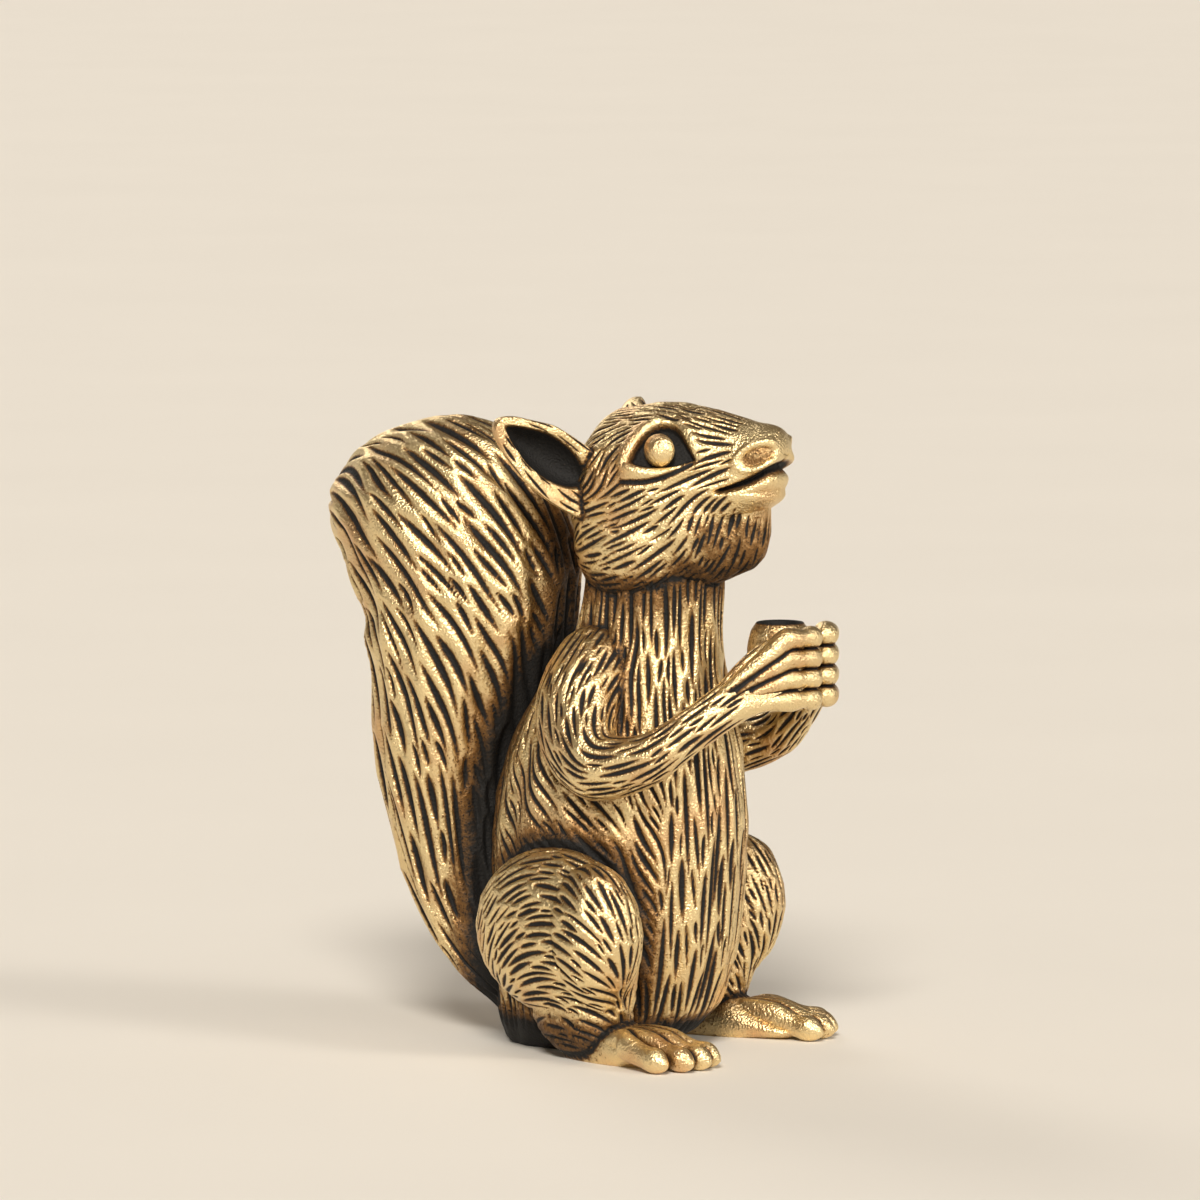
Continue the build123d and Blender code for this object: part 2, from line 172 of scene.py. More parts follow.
TORSO_STATIONS = [
    (0.3, 0.0, 0.0, 0.0, 90),
    (0.3, 0.0, 9.4, 8.4, 90),
    (1.3, 0.9, 12.6, 10.6, 90),
    (2.1, 3.0, 15.2, 12.2, 90),
    (2.7, 8.0, 16.8, 13.8, 90),
    (3.0, 14.0, 17.2, 13.8, 90),
    (3.4, 19.0, 15.6, 13.0, 90),
    (4.1, 23.4, 12.2, 11.4, 90),
    (5.2, 27.0, 9.6, 8.4, 90),
    (5.6, 31.0, 9.0, 7.8, 90),
    (5.6, 32.5, 0.0, 0.0, 90),
]
torso_grid = midline(TORSO_STATIONS, rows=250, columns=390, locks=16)
print("torso", torso_grid.shape)

# %% Tail
TAIL_STATIONS = [
    (-1.2, 2.2, 0.0, 0.0, 158),
    (-2.5, 3.0, 5.0, 6.2, 150),
    (-6.1, 5.8, 6.2, 7.2, 128),
    (-8.3, 10.6, 8.2, 8.8, 106),
    (-9.1, 17.0, 10.6, 10.6, 95),
    (-8.3, 23.6, 13.2, 12.4, 92),
    (-8.0, 28.5, 15.5, 13.2, 110),
    (-10.0, 32.9, 15.3, 13.0, 130),
    (-13.7, 35.2, 11.4, 10.8, 148),
    (-16.5, 35.1, 6.8, 7.2, 160),
    (-18.0, 34.7, 0.0, 0.0, 165),
]
tail_grid = midline(TAIL_STATIONS, rows=400, columns=240, locks=14)
print("tail", tail_grid.shape)

# %% [markdown]
# ## Bodies of several eggs
# A head or a thigh is several round lumps run together. Metaballs or a remeshed union would do
# that too, but their mesh has no rows and columns for the fur to follow. Here rays are sent out from
# the inside. Each stops where it leaves the outermost egg, and the valleys between eggs are
# rounded off.


# %% Rays and eggs
def ray_to_egg(origin, way, centre, radii, yaw=0.0):
    """How far each ray runs before it leaves an ellipsoid turned by yaw degrees about the
    vertical; a ray that misses it gets zero."""
    angle = np.radians(yaw)
    turn = np.array([[np.cos(angle), np.sin(angle), 0], [-np.sin(angle), np.cos(angle), 0], [0, 0, 1]])
    start = (origin - np.asarray(centre, float)) @ turn.T / radii
    heading = way @ turn.T / radii
    a = (heading**2).sum(-1)
    b = (start * heading).sum(-1)
    c = (start**2).sum(-1) - 1
    inside = b * b - a * c
    return np.where(inside > 0, (np.sqrt(np.clip(inside, 0, None)) - b) / a, 0)


def soft_max(distances, softness):
    """The largest of several distances, with the corners between them rounded off. A ray that
    misses an egg takes nothing from it."""
    stack = np.stack(distances)
    top = stack.max(0)
    share = (np.exp((stack - top) / softness) * (stack > 0)).sum(0)
    return top + softness * np.log(np.maximum(share, 1))


print("from the middle of an egg:", ray_to_egg(np.zeros(3), np.eye(3), (0, 0, 0), (1, 2, 3)))

# %% [markdown]
# ## Head
# A tube from nape to nose gives the skull and the bridge of the snout. Eggs below it give the
# jowls, the chin with its tuft, the lower lip and the pad of the nose. The rays start on the tube's
# own middle line and run square to it.

# %% Head
HEAD_ROWS = 240
HEAD_COLUMNS = 400
HEAD_SOFTNESS = 0.28
HEAD_STATIONS = [
    (0.1, 35.0, 0.0, 0.0, 0),
    (0.5, 35.0, 4.2, 3.8, 0),
    (1.3, 35.2, 7.6, 7.0, 0),
    (3.3, 35.6, 11.0, 10.2, 0),
    (6.1, 36.0, 11.2, 10.6, 0),
    (8.9, 36.5, 9.8, 8.8, 0),
    (11.3, 37.1, 7.8, 6.2, 0),
    (13.2, 37.55, 5.8, 4.6, 0),
    (14.6, 38.1, 4.0, 3.3, 0),
    (15.2, 38.3, 0.0, 0.0, 0),
]
# Middle and radii of the jowls, back of the jaw, chin, chin tuft, lower lip and nose
HEAD_EGGS = [
    ((0, -5.2, 32.6), (5.4, 4.7, 4.5)),
    ((0, -8.4, 33.7), (4.2, 3.6, 3.9)),
    ((0, -10.3, 33.4), (2.6, 2.4, 3.1)),
    ((0, -11.9, 33.7), (1.6, 2.0, 2.8)),
    ((0, -13.0, 36.05), (1.85, 1.8, 0.85)),
    ((0, -13.6, 38.65), (1.95, 1.6, 1.6)),
]
skull = midline(HEAD_STATIONS, HEAD_ROWS, HEAD_COLUMNS)
head_axis = skull.mean(1, keepdims=True)
head_spoke = unit(skull[HEAD_ROWS // 2] - head_axis[HEAD_ROWS // 2])[None] + 0 * skull
head_reach = [np.linalg.norm(skull - head_axis, axis=-1)]
head_reach += [ray_to_egg(head_axis, head_spoke, *egg) for egg in HEAD_EGGS]
nape_to_nose = np.linspace(0, 1, HEAD_ROWS)
nose_to_nape = np.linspace(1, 0, HEAD_ROWS)
closing = smoothstep(0, 0.03, nape_to_nose) * smoothstep(0, 0.02, nose_to_nape)
head_out = soft_max(head_reach, HEAD_SOFTNESS) * closing[:, None] ** 0.5
head_grid = head_axis + head_spoke * head_out[..., None]
print("head", head_grid.shape)

# %% [markdown]
# ## Haunch
# The folded hind leg is a thigh, a knee that stands out at the front, a shank and a heel. The rays
# fan out like a globe's meridians from one place inside the thigh. Left pieces are mirror twins of
# right ones, so only the right side is worked out.

# %% Haunch
HAUNCH_ROWS = 220
HAUNCH_COLUMNS = 300
HAUNCH_SOFTNESS = 0.8
HAUNCH_HEART = np.array((-7.2, -3.6, 7.6))
HAUNCH_POLE = unit(np.array((0.45, 0.25, 0.86)))
# Middle, radii and turn of the thigh, knee, shank and heel
HAUNCH_EGGS = [
    ((-7.3, -2.6, 8.1), (3.4, 6.7, 5.4), -15),
    ((-9.5, -6.6, 8.6), (2.3, 2.7, 4.1), -20),
    ((-7.6, -5.6, 4.4), (2.1, 2.5, 3.8), 0),
    ((-7.0, -4.2, 2.8), (2.0, 3.1, 2.6), 0),
]
haunch_first = unit(np.cross(HAUNCH_POLE, (0, 1, 0)))
haunch_second = np.cross(HAUNCH_POLE, haunch_first)
haunch_fall = np.linspace(0, np.pi, HAUNCH_ROWS)[:, None, None]
haunch_turn = np.linspace(0, 2 * np.pi, HAUNCH_COLUMNS, endpoint=False)[None, :, None]
haunch_ring = np.cos(haunch_turn) * haunch_first + np.sin(haunch_turn) * haunch_second
haunch_spoke = -np.cos(haunch_fall) * HAUNCH_POLE + np.sin(haunch_fall) * haunch_ring
haunch_reach = [ray_to_egg(HAUNCH_HEART, haunch_spoke, *egg) for egg in HAUNCH_EGGS]
haunch_grid = HAUNCH_HEART + haunch_spoke * soft_max(haunch_reach, HAUNCH_SOFTNESS)[..., None]
haunch_grid[..., 2] = np.maximum(haunch_grid[..., 2], 0)
print("haunch", haunch_grid.shape)

# %% [markdown]
# ## Arms and feet
# The arm is a tube bent round the elbow, flattened to a palm at its end. Each finger and toe is a
# small tube of its own that swells at the knuckle, narrows at the joint and swells again at the
# tip. One block with grooves would be quicker, but real fingers catch the light one by one. Rows
# give out, ahead, up, upright size and sideways size. Soles are cut off level with the floor.


# %% Arm with paw
def limb(knots, side, rows, columns):
    """A swept limb from rows of out, ahead, up, upright size and sideways size, on the right."""
    knots = np.asarray(knots, float)
    centres = knots[:, :3] * (-1, -1, 1)
    runs = np.gradient(centres, axis=0)
    return sweep(centres, knots[:, 4], knots[:, 3], runs, side, rows, columns)


ARM_STATIONS = [
    (1.2, 3.2, 26.2, 0.0, 0.0),
    (2.9, 3.2, 25.4, 5.2, 4.6),
    (5.3, 3.2, 23.2, 6.0, 5.0),
    (7.1, 4.1, 20.6, 5.6, 4.5),
    (8.2, 6.6, 18.9, 4.4, 4.0),
    (8.1, 9.6, 19.6, 3.4, 3.3),
    (6.9, 12.2, 21.5, 2.8, 2.7),
    (5.2, 13.9, 23.1, 2.9, 2.3),
    (3.9, 15.0, 24.2, 3.8, 1.4),
    (2.9, 15.7, 24.8, 4.3, 1.2),
    (1.9, 16.5, 25.1, 4.6, 1.1),
    (1.6, 17.2, 25.2, 0.0, 0.0),
]
FINGERS = 4
FINGER_PITCH = 1.3
KNUCKLE_HEIGHT = 25.2


def finger_grid(level):
    """One finger from the wrist to its tip, that many places above the middle of the hand."""
    knuckle = KNUCKLE_HEIGHT + FINGER_PITCH * level
    stations = [
        (7.0, 12.0, 21.4 + 0.15 * level, 0.0, 0.0),
        (5.5, 13.8, 23.2 + 0.42 * level, 0.9, 1.2),
        (3.5, 15.9, 24.7 + 0.98 * level, 1.3, 1.5),
        (2.3, 16.8, knuckle, 1.5, 1.65),
        (1.75, 17.3, knuckle, 1.1, 1.2),
        (1.05, 17.5, knuckle, 1.5, 1.6),
        (0.1, 17.6, knuckle, 0.0, 0.0),
    ]
    return limb(stations, (-1, -0.6, 0), rows=70, columns=40)


arm_grid = limb(ARM_STATIONS, (-1, 0, 0), rows=230, columns=150)
fingers = [finger_grid(finger - (FINGERS - 1) / 2) for finger in range(FINGERS)]
print("arm", arm_grid.shape, "fingers", len(fingers))

# %% Foot with toes
FOOT_STATIONS = [
    (6.5, 2.6, 1.0, 0.0, 0.0),
    (6.6, 3.3, 1.0, 2.2, 2.4),
    (7.1, 6.1, 1.1, 4.2, 3.4),
    (7.6, 9.0, 0.8, 2.2, 4.1),
    (7.9, 11.4, 0.5, 1.0, 3.7),
    (8.0, 12.6, 0.7, 0.0, 0.0),
]
TOES = 4
TOE_PITCH = 1.12
FOOT_OUT = 7.9


def toe_grid(level):
    """One toe, that many places out from the middle of the foot, turned out and shorter outside."""
    shorter = 0.3 * level**2 + 0.5 * level
    spread = FOOT_OUT + TOE_PITCH * level
    stations = [
        (spread - 0.42 * level, 7.0, 1.5, 0.0, 0.0),
        (spread - 0.3 * level, 8.4, 1.7, 1.5, 1.1),
        (spread - 0.1 * level + 0.3, 10.4 - shorter, 1.5, 1.75, 1.25),
        (spread + 0.1 * level + 0.6, 12.1 - shorter, 1.0, 1.5, 1.15),
        (spread + 0.2 * level + 0.75, 13.0 - shorter, 0.85, 1.65, 1.4),
        (spread + 0.25 * level + 0.9, 14.1 - shorter, 0.5, 0.0, 0.0),
    ]
    return limb(stations, (-1, 0, 0), rows=60, columns=44)


foot_grid = limb(FOOT_STATIONS, (-1, 0, 0), rows=110, columns=120)
toes = [toe_grid(toe - (TOES - 1) / 2) for toe in range(TOES)]
for sole in [foot_grid, *toes]:
    sole[..., 2] = np.maximum(sole[..., 2], 0)
print("foot", foot_grid.shape, "toes", len(toes))

# %% [markdown]
# ## Ear
# The ear is a leaf that leans out and back, with a raised rim round a deep hollow. It could be a
# thin sheet with Solidify, but a cast ear is thick at the root and thin at the rim. So it is one
# closed tube: the rear half is a rounded back, and the front half sinks into an oval bowl.

# %% Ear
EAR_ROWS = 120
EAR_COLUMNS = 160
EAR_ROOT = np.array((-3.3, -3.9, 35.2))
EAR_TIP = np.array((-9.1, 0.9, 40.7))
EAR_LOOK = np.array((-0.62, -0.78, 0.1))
EAR_SHARES = np.array((0, 0.1, 0.38, 0.6, 0.8, 0.93, 1.0))
EAR_HALF_WIDTHS = np.array((0.0, 1.8, 2.2, 2.05, 1.45, 0.85, 0.0))
EAR_BACK = 1.5
EAR_LIP = 0.5
EAR_BOWL = 1.5

ear_way = unit(EAR_TIP - EAR_ROOT)
ear_face = unit(EAR_LOOK - ear_way * (ear_way @ EAR_LOOK))
ear_side = np.cross(ear_face, ear_way)
ear_rise = np.linspace(0, 1, EAR_ROWS)
ear_half = np.sqrt(np.clip(spline(EAR_SHARES, EAR_HALF_WIDTHS**2, ear_rise), 0, None))
ear_turn = np.linspace(0, 2 * np.pi, EAR_COLUMNS, endpoint=False)
ear_across = np.cos(ear_turn)[None] * ear_half[:, None]
ear_back = np.minimum(np.sin(ear_turn), 0)[None] * np.minimum(EAR_BACK, ear_half)[:, None]
ear_lip = np.clip(np.sin(ear_turn), 0, None)[None] ** 0.4 * np.minimum(EAR_LIP, ear_half)[:, None]
bowl_along = (ear_rise[:, None] - 0.57) / 0.36
bowl_across = (ear_across / np.maximum(ear_half, 0.3)[:, None] + 0.08) / 0.62
bowl = 1 - bowl_along**2 - bowl_across**2
ear_hollow = smoothstep(-0.1, 0.25, bowl) * (np.sin(ear_turn) > 0)[None]
bowl_share = np.minimum(1, ear_half / 1.6)[:, None]
ear_depth = ear_back + ear_lip - EAR_BOWL * ear_hollow * np.sqrt(np.clip(bowl, 0.15, 1)) * bowl_share
ear_depth = ear_depth + 0.5 * np.abs(ear_across / 2.4) ** 2 - 0.25
ear_grid = (
    EAR_ROOT
    + ear_way * (ear_rise * np.linalg.norm(EAR_TIP - EAR_ROOT))[:, None, None]
    + ear_side * ear_across[..., None]
    + ear_face * ear_depth[..., None]
)
print("ear", ear_grid.shape)

# %% [markdown]
# ## Eye and nut
# The eye is a low round dome set in its socket. The nut is turned about its upright axis, and its
# top is hollow inside a rounded rim, which shows between the fingers. A UV sphere and the Screw
# modifier would serve as well; the same sweep keeps every piece on one kind of grid.

# %% Eye and nut
EYE = np.array((-4.0, -8.15, 38.85))
EYE_RADIUS = 1.07
EYE_BULGE = 0.84
NUT = np.array((0.0, -14.7, 25.4))
# Height above the middle of the nut, and diameter there
NUT_PROFILE = np.array([
    (-2.8, 0.0),
    (-2.4, 1.9),
    (-1.0, 3.7),
    (0.6, 4.2),
    (1.8, 3.8),
    (2.35, 3.2),
    (2.5, 2.9),
    (2.35, 2.6),
    (1.75, 2.2),
    (1.65, 1.0),
    (1.65, 0.0),
])
eye_centres = EYE + np.array([(-1, 0, 0), (0, 0, 0), (1, 0, 0)]) * EYE_BULGE
eye_sizes = [0, 2 * EYE_RADIUS, 0]
eye_grid = sweep(eye_centres, eye_sizes, eye_sizes, [(1, 0, 0)] * 3, (0, 1, 0), rows=60, columns=72)
nut_centres = NUT + NUT_PROFILE[:, :1] * (0, 0, 1)
nut_sizes = NUT_PROFILE[:, 1]
nut_runs = [(0, 0, 1)] * len(NUT_PROFILE)
nut_grid = sweep(nut_centres, nut_sizes, nut_sizes, nut_runs, (1, 0, 0), rows=110, columns=120)
print("eye", eye_grid.shape, "nut", nut_grid.shape)

# %% [markdown]
# ## Dark corners
# Rubbing never reaches the corner where two castings meet, so the black stays there. An Ambient
# Occlusion node could find corners, but it depends on the renderer and doesn't bake alike. Instead
# the distance from each piece to its neighbours is measured on a thinned set of points: a narrow
# bell of it is the black patina in the corner, and a wider, weaker one is painted shade over what
# lies round it.


# %% Distance to the neighbours
def look_up(field, row, column):
    """Values of a grid at fractional places, mixed from the four nearest points."""
    rows, columns = field.shape[:2]
    row = np.clip(row, 0, rows - 1.001)
    low = np.floor(row).astype(int)
    left = np.floor(column).astype(int)
    down = (row - low)[..., None]
    right = (column - left)[..., None]
    upper = field[low, left % columns] * (1 - right) + field[low, (left + 1) % columns] * right
    lower = field[low + 1, left % columns] * (1 - right) + field[low + 1, (left + 1) % columns] * right
    return upper * (1 - down) + lower * down

LARGE_GRID = 60000
PART = 1500


def corner_patina_and_shade(grid, others, near, far, weight):
    """How dark the corners are: the distance to the other grids, found on thinned points and spread
    back, gives a black bell as wide as near, the patina in the corner, and one as wide as far that
    has only the weight, painted shade round the corner."""
    thin_by = 4 if grid.size > LARGE_GRID else 1
    thin = grid[::thin_by, ::thin_by]
    reach = 2 * max(near, far)
    low = thin.reshape(-1, 3).min(0) - reach
    high = thin.reshape(-1, 3).max(0) + reach
    points = [other[::3, ::3] if other.size > LARGE_GRID else other for other in others]
    points = np.concatenate([other.reshape(-1, 3) for other in points])
    points = points[((points > low) & (points < high)).all(1)].astype(np.float32)
    flat = thin.reshape(-1, 3).astype(np.float32)
    nearest = np.full(len(flat), 100.0, np.float32)
    for start in range(0, len(points), PART):
        part = points[start:start + PART]
        square = (flat**2).sum(1)[:, None] + (part**2).sum(1)[None] - 2 * flat @ part.T
        nearest = np.minimum(nearest, square.min(1))
    distance = np.sqrt(np.maximum(nearest, 0)).reshape(thin.shape[:2])
    rows, columns = grid.shape[:2]
    row, column = np.meshgrid(np.arange(rows) / thin_by, np.arange(columns) / thin_by, indexing="ij")
    distance = look_up(distance[..., None], row, column)[..., 0]
    return np.maximum(np.exp(-((distance / near) ** 2)), weight * np.exp(-((distance / far) ** 2)))


# %% Dark corners
def mirrored(grid):
    """The left-hand twin of a right-hand grid, its columns reversed so that it faces out."""
    return grid[:, ::-1] * (-1, 1, 1)


def both(grids):
    """Right-hand grids with their left-hand twins."""
    return [*grids, *[mirrored(grid) for grid in grids]]


def gaps_dark(grids, near, far, weight):
    """The patina and painted shade between fingers or toes that lie side by side."""
    return [
        corner_patina_and_shade(grid, [other for other in grids if other is not grid], near, far, weight)
        for grid in grids
    ]


hind_legs = both([haunch_grid, foot_grid, *toes])
behind = [torso_grid, head_grid, *both([haunch_grid, ear_grid])]
# Each of these is black patina in the corner itself and a wider painted shade round it.
torso_dark = np.maximum.reduce([
    corner_patina_and_shade(torso_grid, [head_grid, tail_grid], near=0.35, far=1.8, weight=0.5),
    corner_patina_and_shade(torso_grid, hind_legs, near=0.75, far=1.9, weight=0.65),
    corner_patina_and_shade(torso_grid, both([arm_grid]), near=0.3, far=1.6, weight=0.4),
])
tail_dark = corner_patina_and_shade(tail_grid, behind, near=0.9, far=2.6, weight=0.85)
head_dark = np.maximum(
    corner_patina_and_shade(head_grid, [torso_grid, tail_grid], near=0.35, far=1.5, weight=0.4),
    corner_patina_and_shade(head_grid, both([ear_grid]), near=0.2, far=0.6, weight=0.3),
)
haunch_dark = corner_patina_and_shade(haunch_grid, [torso_grid, tail_grid, foot_grid], near=0.3, far=1.3, weight=0.35)
arm_dark = corner_patina_and_shade(arm_grid, [torso_grid, nut_grid], near=0.3, far=1.2, weight=0.25)
finger_dark = gaps_dark(fingers, near=0.22, far=0.4, weight=0.2)
foot_dark = corner_patina_and_shade(foot_grid, [haunch_grid, torso_grid], near=0.25, far=0.8, weight=0.35)
toe_dark = gaps_dark(toes, near=0.34, far=0.6, weight=0.4)
ear_dark = corner_patina_and_shade(ear_grid, [head_grid], near=0.2, far=0.6, weight=0.3)
nut_dark = corner_patina_and_shade(nut_grid, both([arm_grid, *fingers]), near=0.3, far=0.8, weight=0.5)
print("share of the torso in dark corners:", round(float((torso_dark > 0.5).mean()), 3))

# %% [markdown]
# ## Tracing the fur
# A hair stroke is a short line that follows the lie of the coat over the skin. An image texture or a
# particle system could draw fur, but neither cuts a groove into a mesh. So strokes are traced
# over the grid from random places, the long ones first. Of each stroke only the longest stretch that
# has room beside the earlier ones is kept, so the coat fills evenly and its ends fall out of step.


# %% Outward normals
def normals(grid):
    """Outward unit normals of a closed tube, from the steps to its neighbours."""
    along = np.gradient(grid, axis=0)
    around = np.roll(grid, -1, 1) - np.roll(grid, 1, 1)
    normal = unit(np.cross(around, along))
    normal[0] = unit(normal[1].mean(0))
    normal[-1] = unit(normal[-2].mean(0))
    outward = (normal * (grid - grid.mean(1, keepdims=True))).sum(-1)[2:-2].mean() > 0
    return normal if outward else -normal


def edges(grid):
    """The steps from each point of a closed tube to its next row and to its next column."""
    return np.gradient(grid, axis=0), (np.roll(grid, -1, 1) - np.roll(grid, 1, 1)) / 2


torso_steps = [np.linalg.norm(edge, axis=-1).mean() for edge in edges(torso_grid)]
print("mean steps on the torso in mm:", np.round(torso_steps, 3))

# %% Tracing strokes
Strokes = namedtuple("Strokes", "pitch shortest longest width stray seed")
TRIES = 16000
POINTS = 25
END_ROWS = 4


def trace(grid, flow, allow, strokes, rng):
    """Rows and columns of the points of many tried strokes. Each is stepped both ways from a random
    allowed place along the flow, laid in the skin, and leans and bends from it by about stray
    radians. The steps over the grid solve for the row and column changes that give the way."""
    rows, columns = grid.shape[:2]
    along, around = edges(grid)
    a = (along**2).sum(-1)
    b = (along * around).sum(-1)
    c = (around**2).sum(-1)
    area = np.maximum(a * c - b * b, 1e-9)
    normal = normals(grid)
    flow = unit(flow - normal * (flow * normal).sum(-1, keepdims=True))

    def grid_steps(way):
        on_row = (way * along).sum(-1)
        on_column = (way * around).sum(-1)
        return np.stack([(c * on_row - b * on_column) / area, (a * on_column - b * on_row) / area], -1)

    rate = np.concatenate([grid_steps(flow), grid_steps(np.cross(normal, flow))], -1)
    chance = np.sqrt(area) * (allow > 0.5)
    chance[:END_ROWS] = 0
    chance[-END_ROWS:] = 0
    picks = rng.choice(rows * columns, size=TRIES, p=(chance / chance.sum()).ravel())
    size = np.linspace(strokes.longest, strokes.shortest, TRIES) * rng.uniform(0.7, 1.1, TRIES)
    start = np.stack([picks // columns, picks % columns], -1) + rng.uniform(-0.5, 0.5, (TRIES, 2))
    lean = rng.normal(0, strokes.stray, (TRIES, 1))
    bend = rng.normal(0, strokes.stray, (TRIES, 1))
    middle = POINTS // 2
    place = np.zeros((TRIES, POINTS, 2))
    place[:, middle] = start
    for way in (1, -1):
        for step in range(middle):
            here = place[:, middle + way * step]
            pushes = look_up(rate, here[:, 0], here[:, 1])
            turn = lean + bend * way * step / middle
            push = pushes[:, :2] * np.cos(turn) + pushes[:, 2:] * np.sin(turn)
            place[:, middle + way * (step + 1)] = here + way * push * (size / (POINTS - 1))[:, None]
    place[..., 0] = np.clip(place[..., 0], 0, rows - 1)
    return place


print(TRIES, "strokes of", POINTS, "points are tried on each coat")

# %% [markdown]
# ## Cutting the fur
# A kept stroke is cut as a groove that tapers at both ends, between soft shoulders that lean into
# it. Its depth at a point of the skin depends only on how far that point is from the stroke and how
# far along the stroke it lies. A coat is cut twice: long strokes, then finer ones in the room
# between them.


# %% Room for a stroke, and distance from it
def clear_stretch(free):
    """The longest unbroken run of free points, as a slice, which is empty where none is free."""
    ends = np.flatnonzero(np.diff(np.concatenate([[0], free, [0]])))
    if len(ends) == 0:
        return slice(0, 0)
    longest = (ends[1::2] - ends[::2]).argmax() * 2
    return slice(ends[longest], ends[longest + 1])


def from_stroke(patch, spot):
    """The distance of each point of a patch from a stroke of straight legs, and the share of the
    stroke that lies before the place nearest to it."""
    leg = np.diff(spot, axis=0)
    share = ((patch - spot[:-1]) * leg).sum(-1) / np.maximum((leg**2).sum(-1), 1e-9)
    share = np.clip(share, 0, 1)
    apart = np.linalg.norm(patch - spot[:-1] - share[..., None] * leg, axis=-1)
    nearest = apart.argmin(-1)[..., None]
    travel = (nearest + np.take_along_axis(share, nearest, -1))[..., 0] / len(leg)
    return np.take_along_axis(apart, nearest, -1)[..., 0], travel


print("longest of two clear stretches:", clear_stretch(np.array((1, 0, 1, 1, 1, 0))))

# %% Cutting strokes
SHOULDER_WIDTH = 2.7


def engrave(grid, flow, allow, strokes):
    """Groove and shoulder strength over a grid. A stroke's longest stretch through allowed skin, a
    pitch clear of earlier strokes, is kept if it is long enough. The groove is a bell of the
    distance to the stroke, tapering to nothing at its ends and narrower on a short stroke, and the
    shoulder is a bell over twice as wide."""
    rng = np.random.default_rng(strokes.seed)
    rows, columns = grid.shape[:2]
    place = trace(grid, flow, allow, strokes, rng)
    spots = look_up(grid, place[..., 0], place[..., 1])
    nearest_point = np.rint(place).astype(int)
    row_step, column_step = (np.sqrt((edge**2).sum(-1)) for edge in edges(grid))
    groove = np.zeros((rows, columns))
    shoulder = np.zeros((rows, columns))
    busy = allow < 0.5
    busy[:END_ROWS] = True
    busy[-END_ROWS:] = True
    reach = max(strokes.pitch, 4 * strokes.width)
    kept = 0
    for path, spot, point in zip(place, spots, nearest_point):
        stretch = clear_stretch(~busy[point[:, 0], point[:, 1] % columns])
        path, spot, point = path[stretch], spot[stretch], point[stretch]
        run = np.linalg.norm(np.diff(spot, axis=0), axis=1).sum()
        if len(path) < 3 or run < strokes.shortest:
            continue
        middle = len(point) // 2
        near = point[middle, 0], point[middle, 1] % columns
        pad_row = int(np.ceil(reach / max(row_step[near], 0.02)))
        pad_column = int(min(np.ceil(reach / max(column_step[near], 0.02)), columns // 3))
        low, left = np.floor(path.min(0)).astype(int) - (pad_row, pad_column)
        high, right = np.ceil(path.max(0)).astype(int) + (pad_row, pad_column)
        row = np.arange(max(low, 0), min(high, rows - 1) + 1)[:, None]
        column = np.arange(left, min(right, left + columns - 1) + 1)[None] % columns
        distance, travel = from_stroke(grid[row, column][:, :, None], spot)
        taper = np.sin(np.pi * np.clip(travel, 0.001, 0.999) ** 0.8) ** 0.7
        slim = 0.55 + 0.45 * min(1, 2 * run / strokes.longest)
        sized = strokes.width * slim * (0.35 + 0.7 * taper) * rng.uniform(0.7, 1.3)
        bell = taper * np.exp(-((distance / sized) ** 2))
        wide = taper * np.exp(-((distance / (SHOULDER_WIDTH * sized)) ** 2))
        groove[row, column] = np.maximum(groove[row, column], bell)
        shoulder[row, column] = np.maximum(shoulder[row, column], wide)
        busy[row, column] |= distance < strokes.pitch * (0.62 + 0.38 * taper)
        kept += 1
    print(kept, "strokes")
    return groove, shoulder


print("shoulders are", SHOULDER_WIDTH, "times as wide as their grooves")

# %% [markdown]
# ## Lie of the coat on body and tail
# Down the chest and belly the hair hangs straight, and over the flank it slants down and forward.
# On the tail it sweeps forward and down at the top, steeper lower down, and runs along the tail
# near the root and the curled tip. Sizes of the strokes are in millimetres.


# %% Torso coat
def merged(cuts, more):
    """Two engravings of one grid together, the deeper at each point."""
    return [np.maximum(cut, other) for cut, other in zip(cuts, more)]


def coat(grid, flow, allow, strokes):
    """A whole coat: long strokes first, then shorter and finer ones in the room between them."""
    cuts = engrave(grid, flow, allow, strokes._replace(shortest=0.45 * strokes.longest))
    room = allow * (cuts[1] < 0.3)
    finer = strokes._replace(
        pitch=0.9 * strokes.pitch,
        longest=0.6 * strokes.longest,
        width=0.7 * strokes.width,
        stray=2 * strokes.stray,
        seed=strokes.seed + 1,
    )
    return merged(cuts, engrave(grid, flow, room, finer))


TORSO_STROKES = Strokes(pitch=0.42, shortest=1.6, longest=8.0, width=0.155, stray=0.02, seed=3)
torso_up = torso_grid[..., 2]
rearward = normals(torso_grid)[..., 1]
flank = smoothstep(-0.85, -0.05, rearward) * smoothstep(0.9, 0.2, rearward)
slant = 1.2 * flank * smoothstep(22, 16, torso_up) * smoothstep(3, 9, torso_up)
torso_flow = np.stack([0 * torso_up, -slant, -np.ones_like(torso_up)], -1)
torso_allow = smoothstep(0.6, 1.4, torso_up) * (torso_up < 31)
torso_cut = coat(torso_grid, torso_flow, torso_allow, TORSO_STROKES)


# %% Tail coat
def lie(drop):
    """Directions in upright planes from front to rear: forward, and down by that angle."""
    return np.stack([0 * drop, -np.cos(drop), -np.sin(drop)], -1)


TAIL_STROKES = Strokes(pitch=0.66, shortest=2.4, longest=9.0, width=0.215, stray=0.03, seed=5)
tail_up = tail_grid[..., 2]
tail_down = -unit(np.gradient(tail_grid, axis=0))
tail_steep = np.radians(38 + 42 * smoothstep(36, 15, tail_up))
from_tip = np.linalg.norm(tail_grid - tail_grid[-1, 0], axis=-1)
tail_upper = (smoothstep(7, 17, tail_up) * smoothstep(3.0, 7.5, from_tip))[..., None]
tail_flow = (1 - tail_upper) * tail_down + tail_upper * lie(tail_steep)
tail_cut = coat(tail_grid, tail_flow, smoothstep(1.0, 1.2, from_tip), TAIL_STROKES)

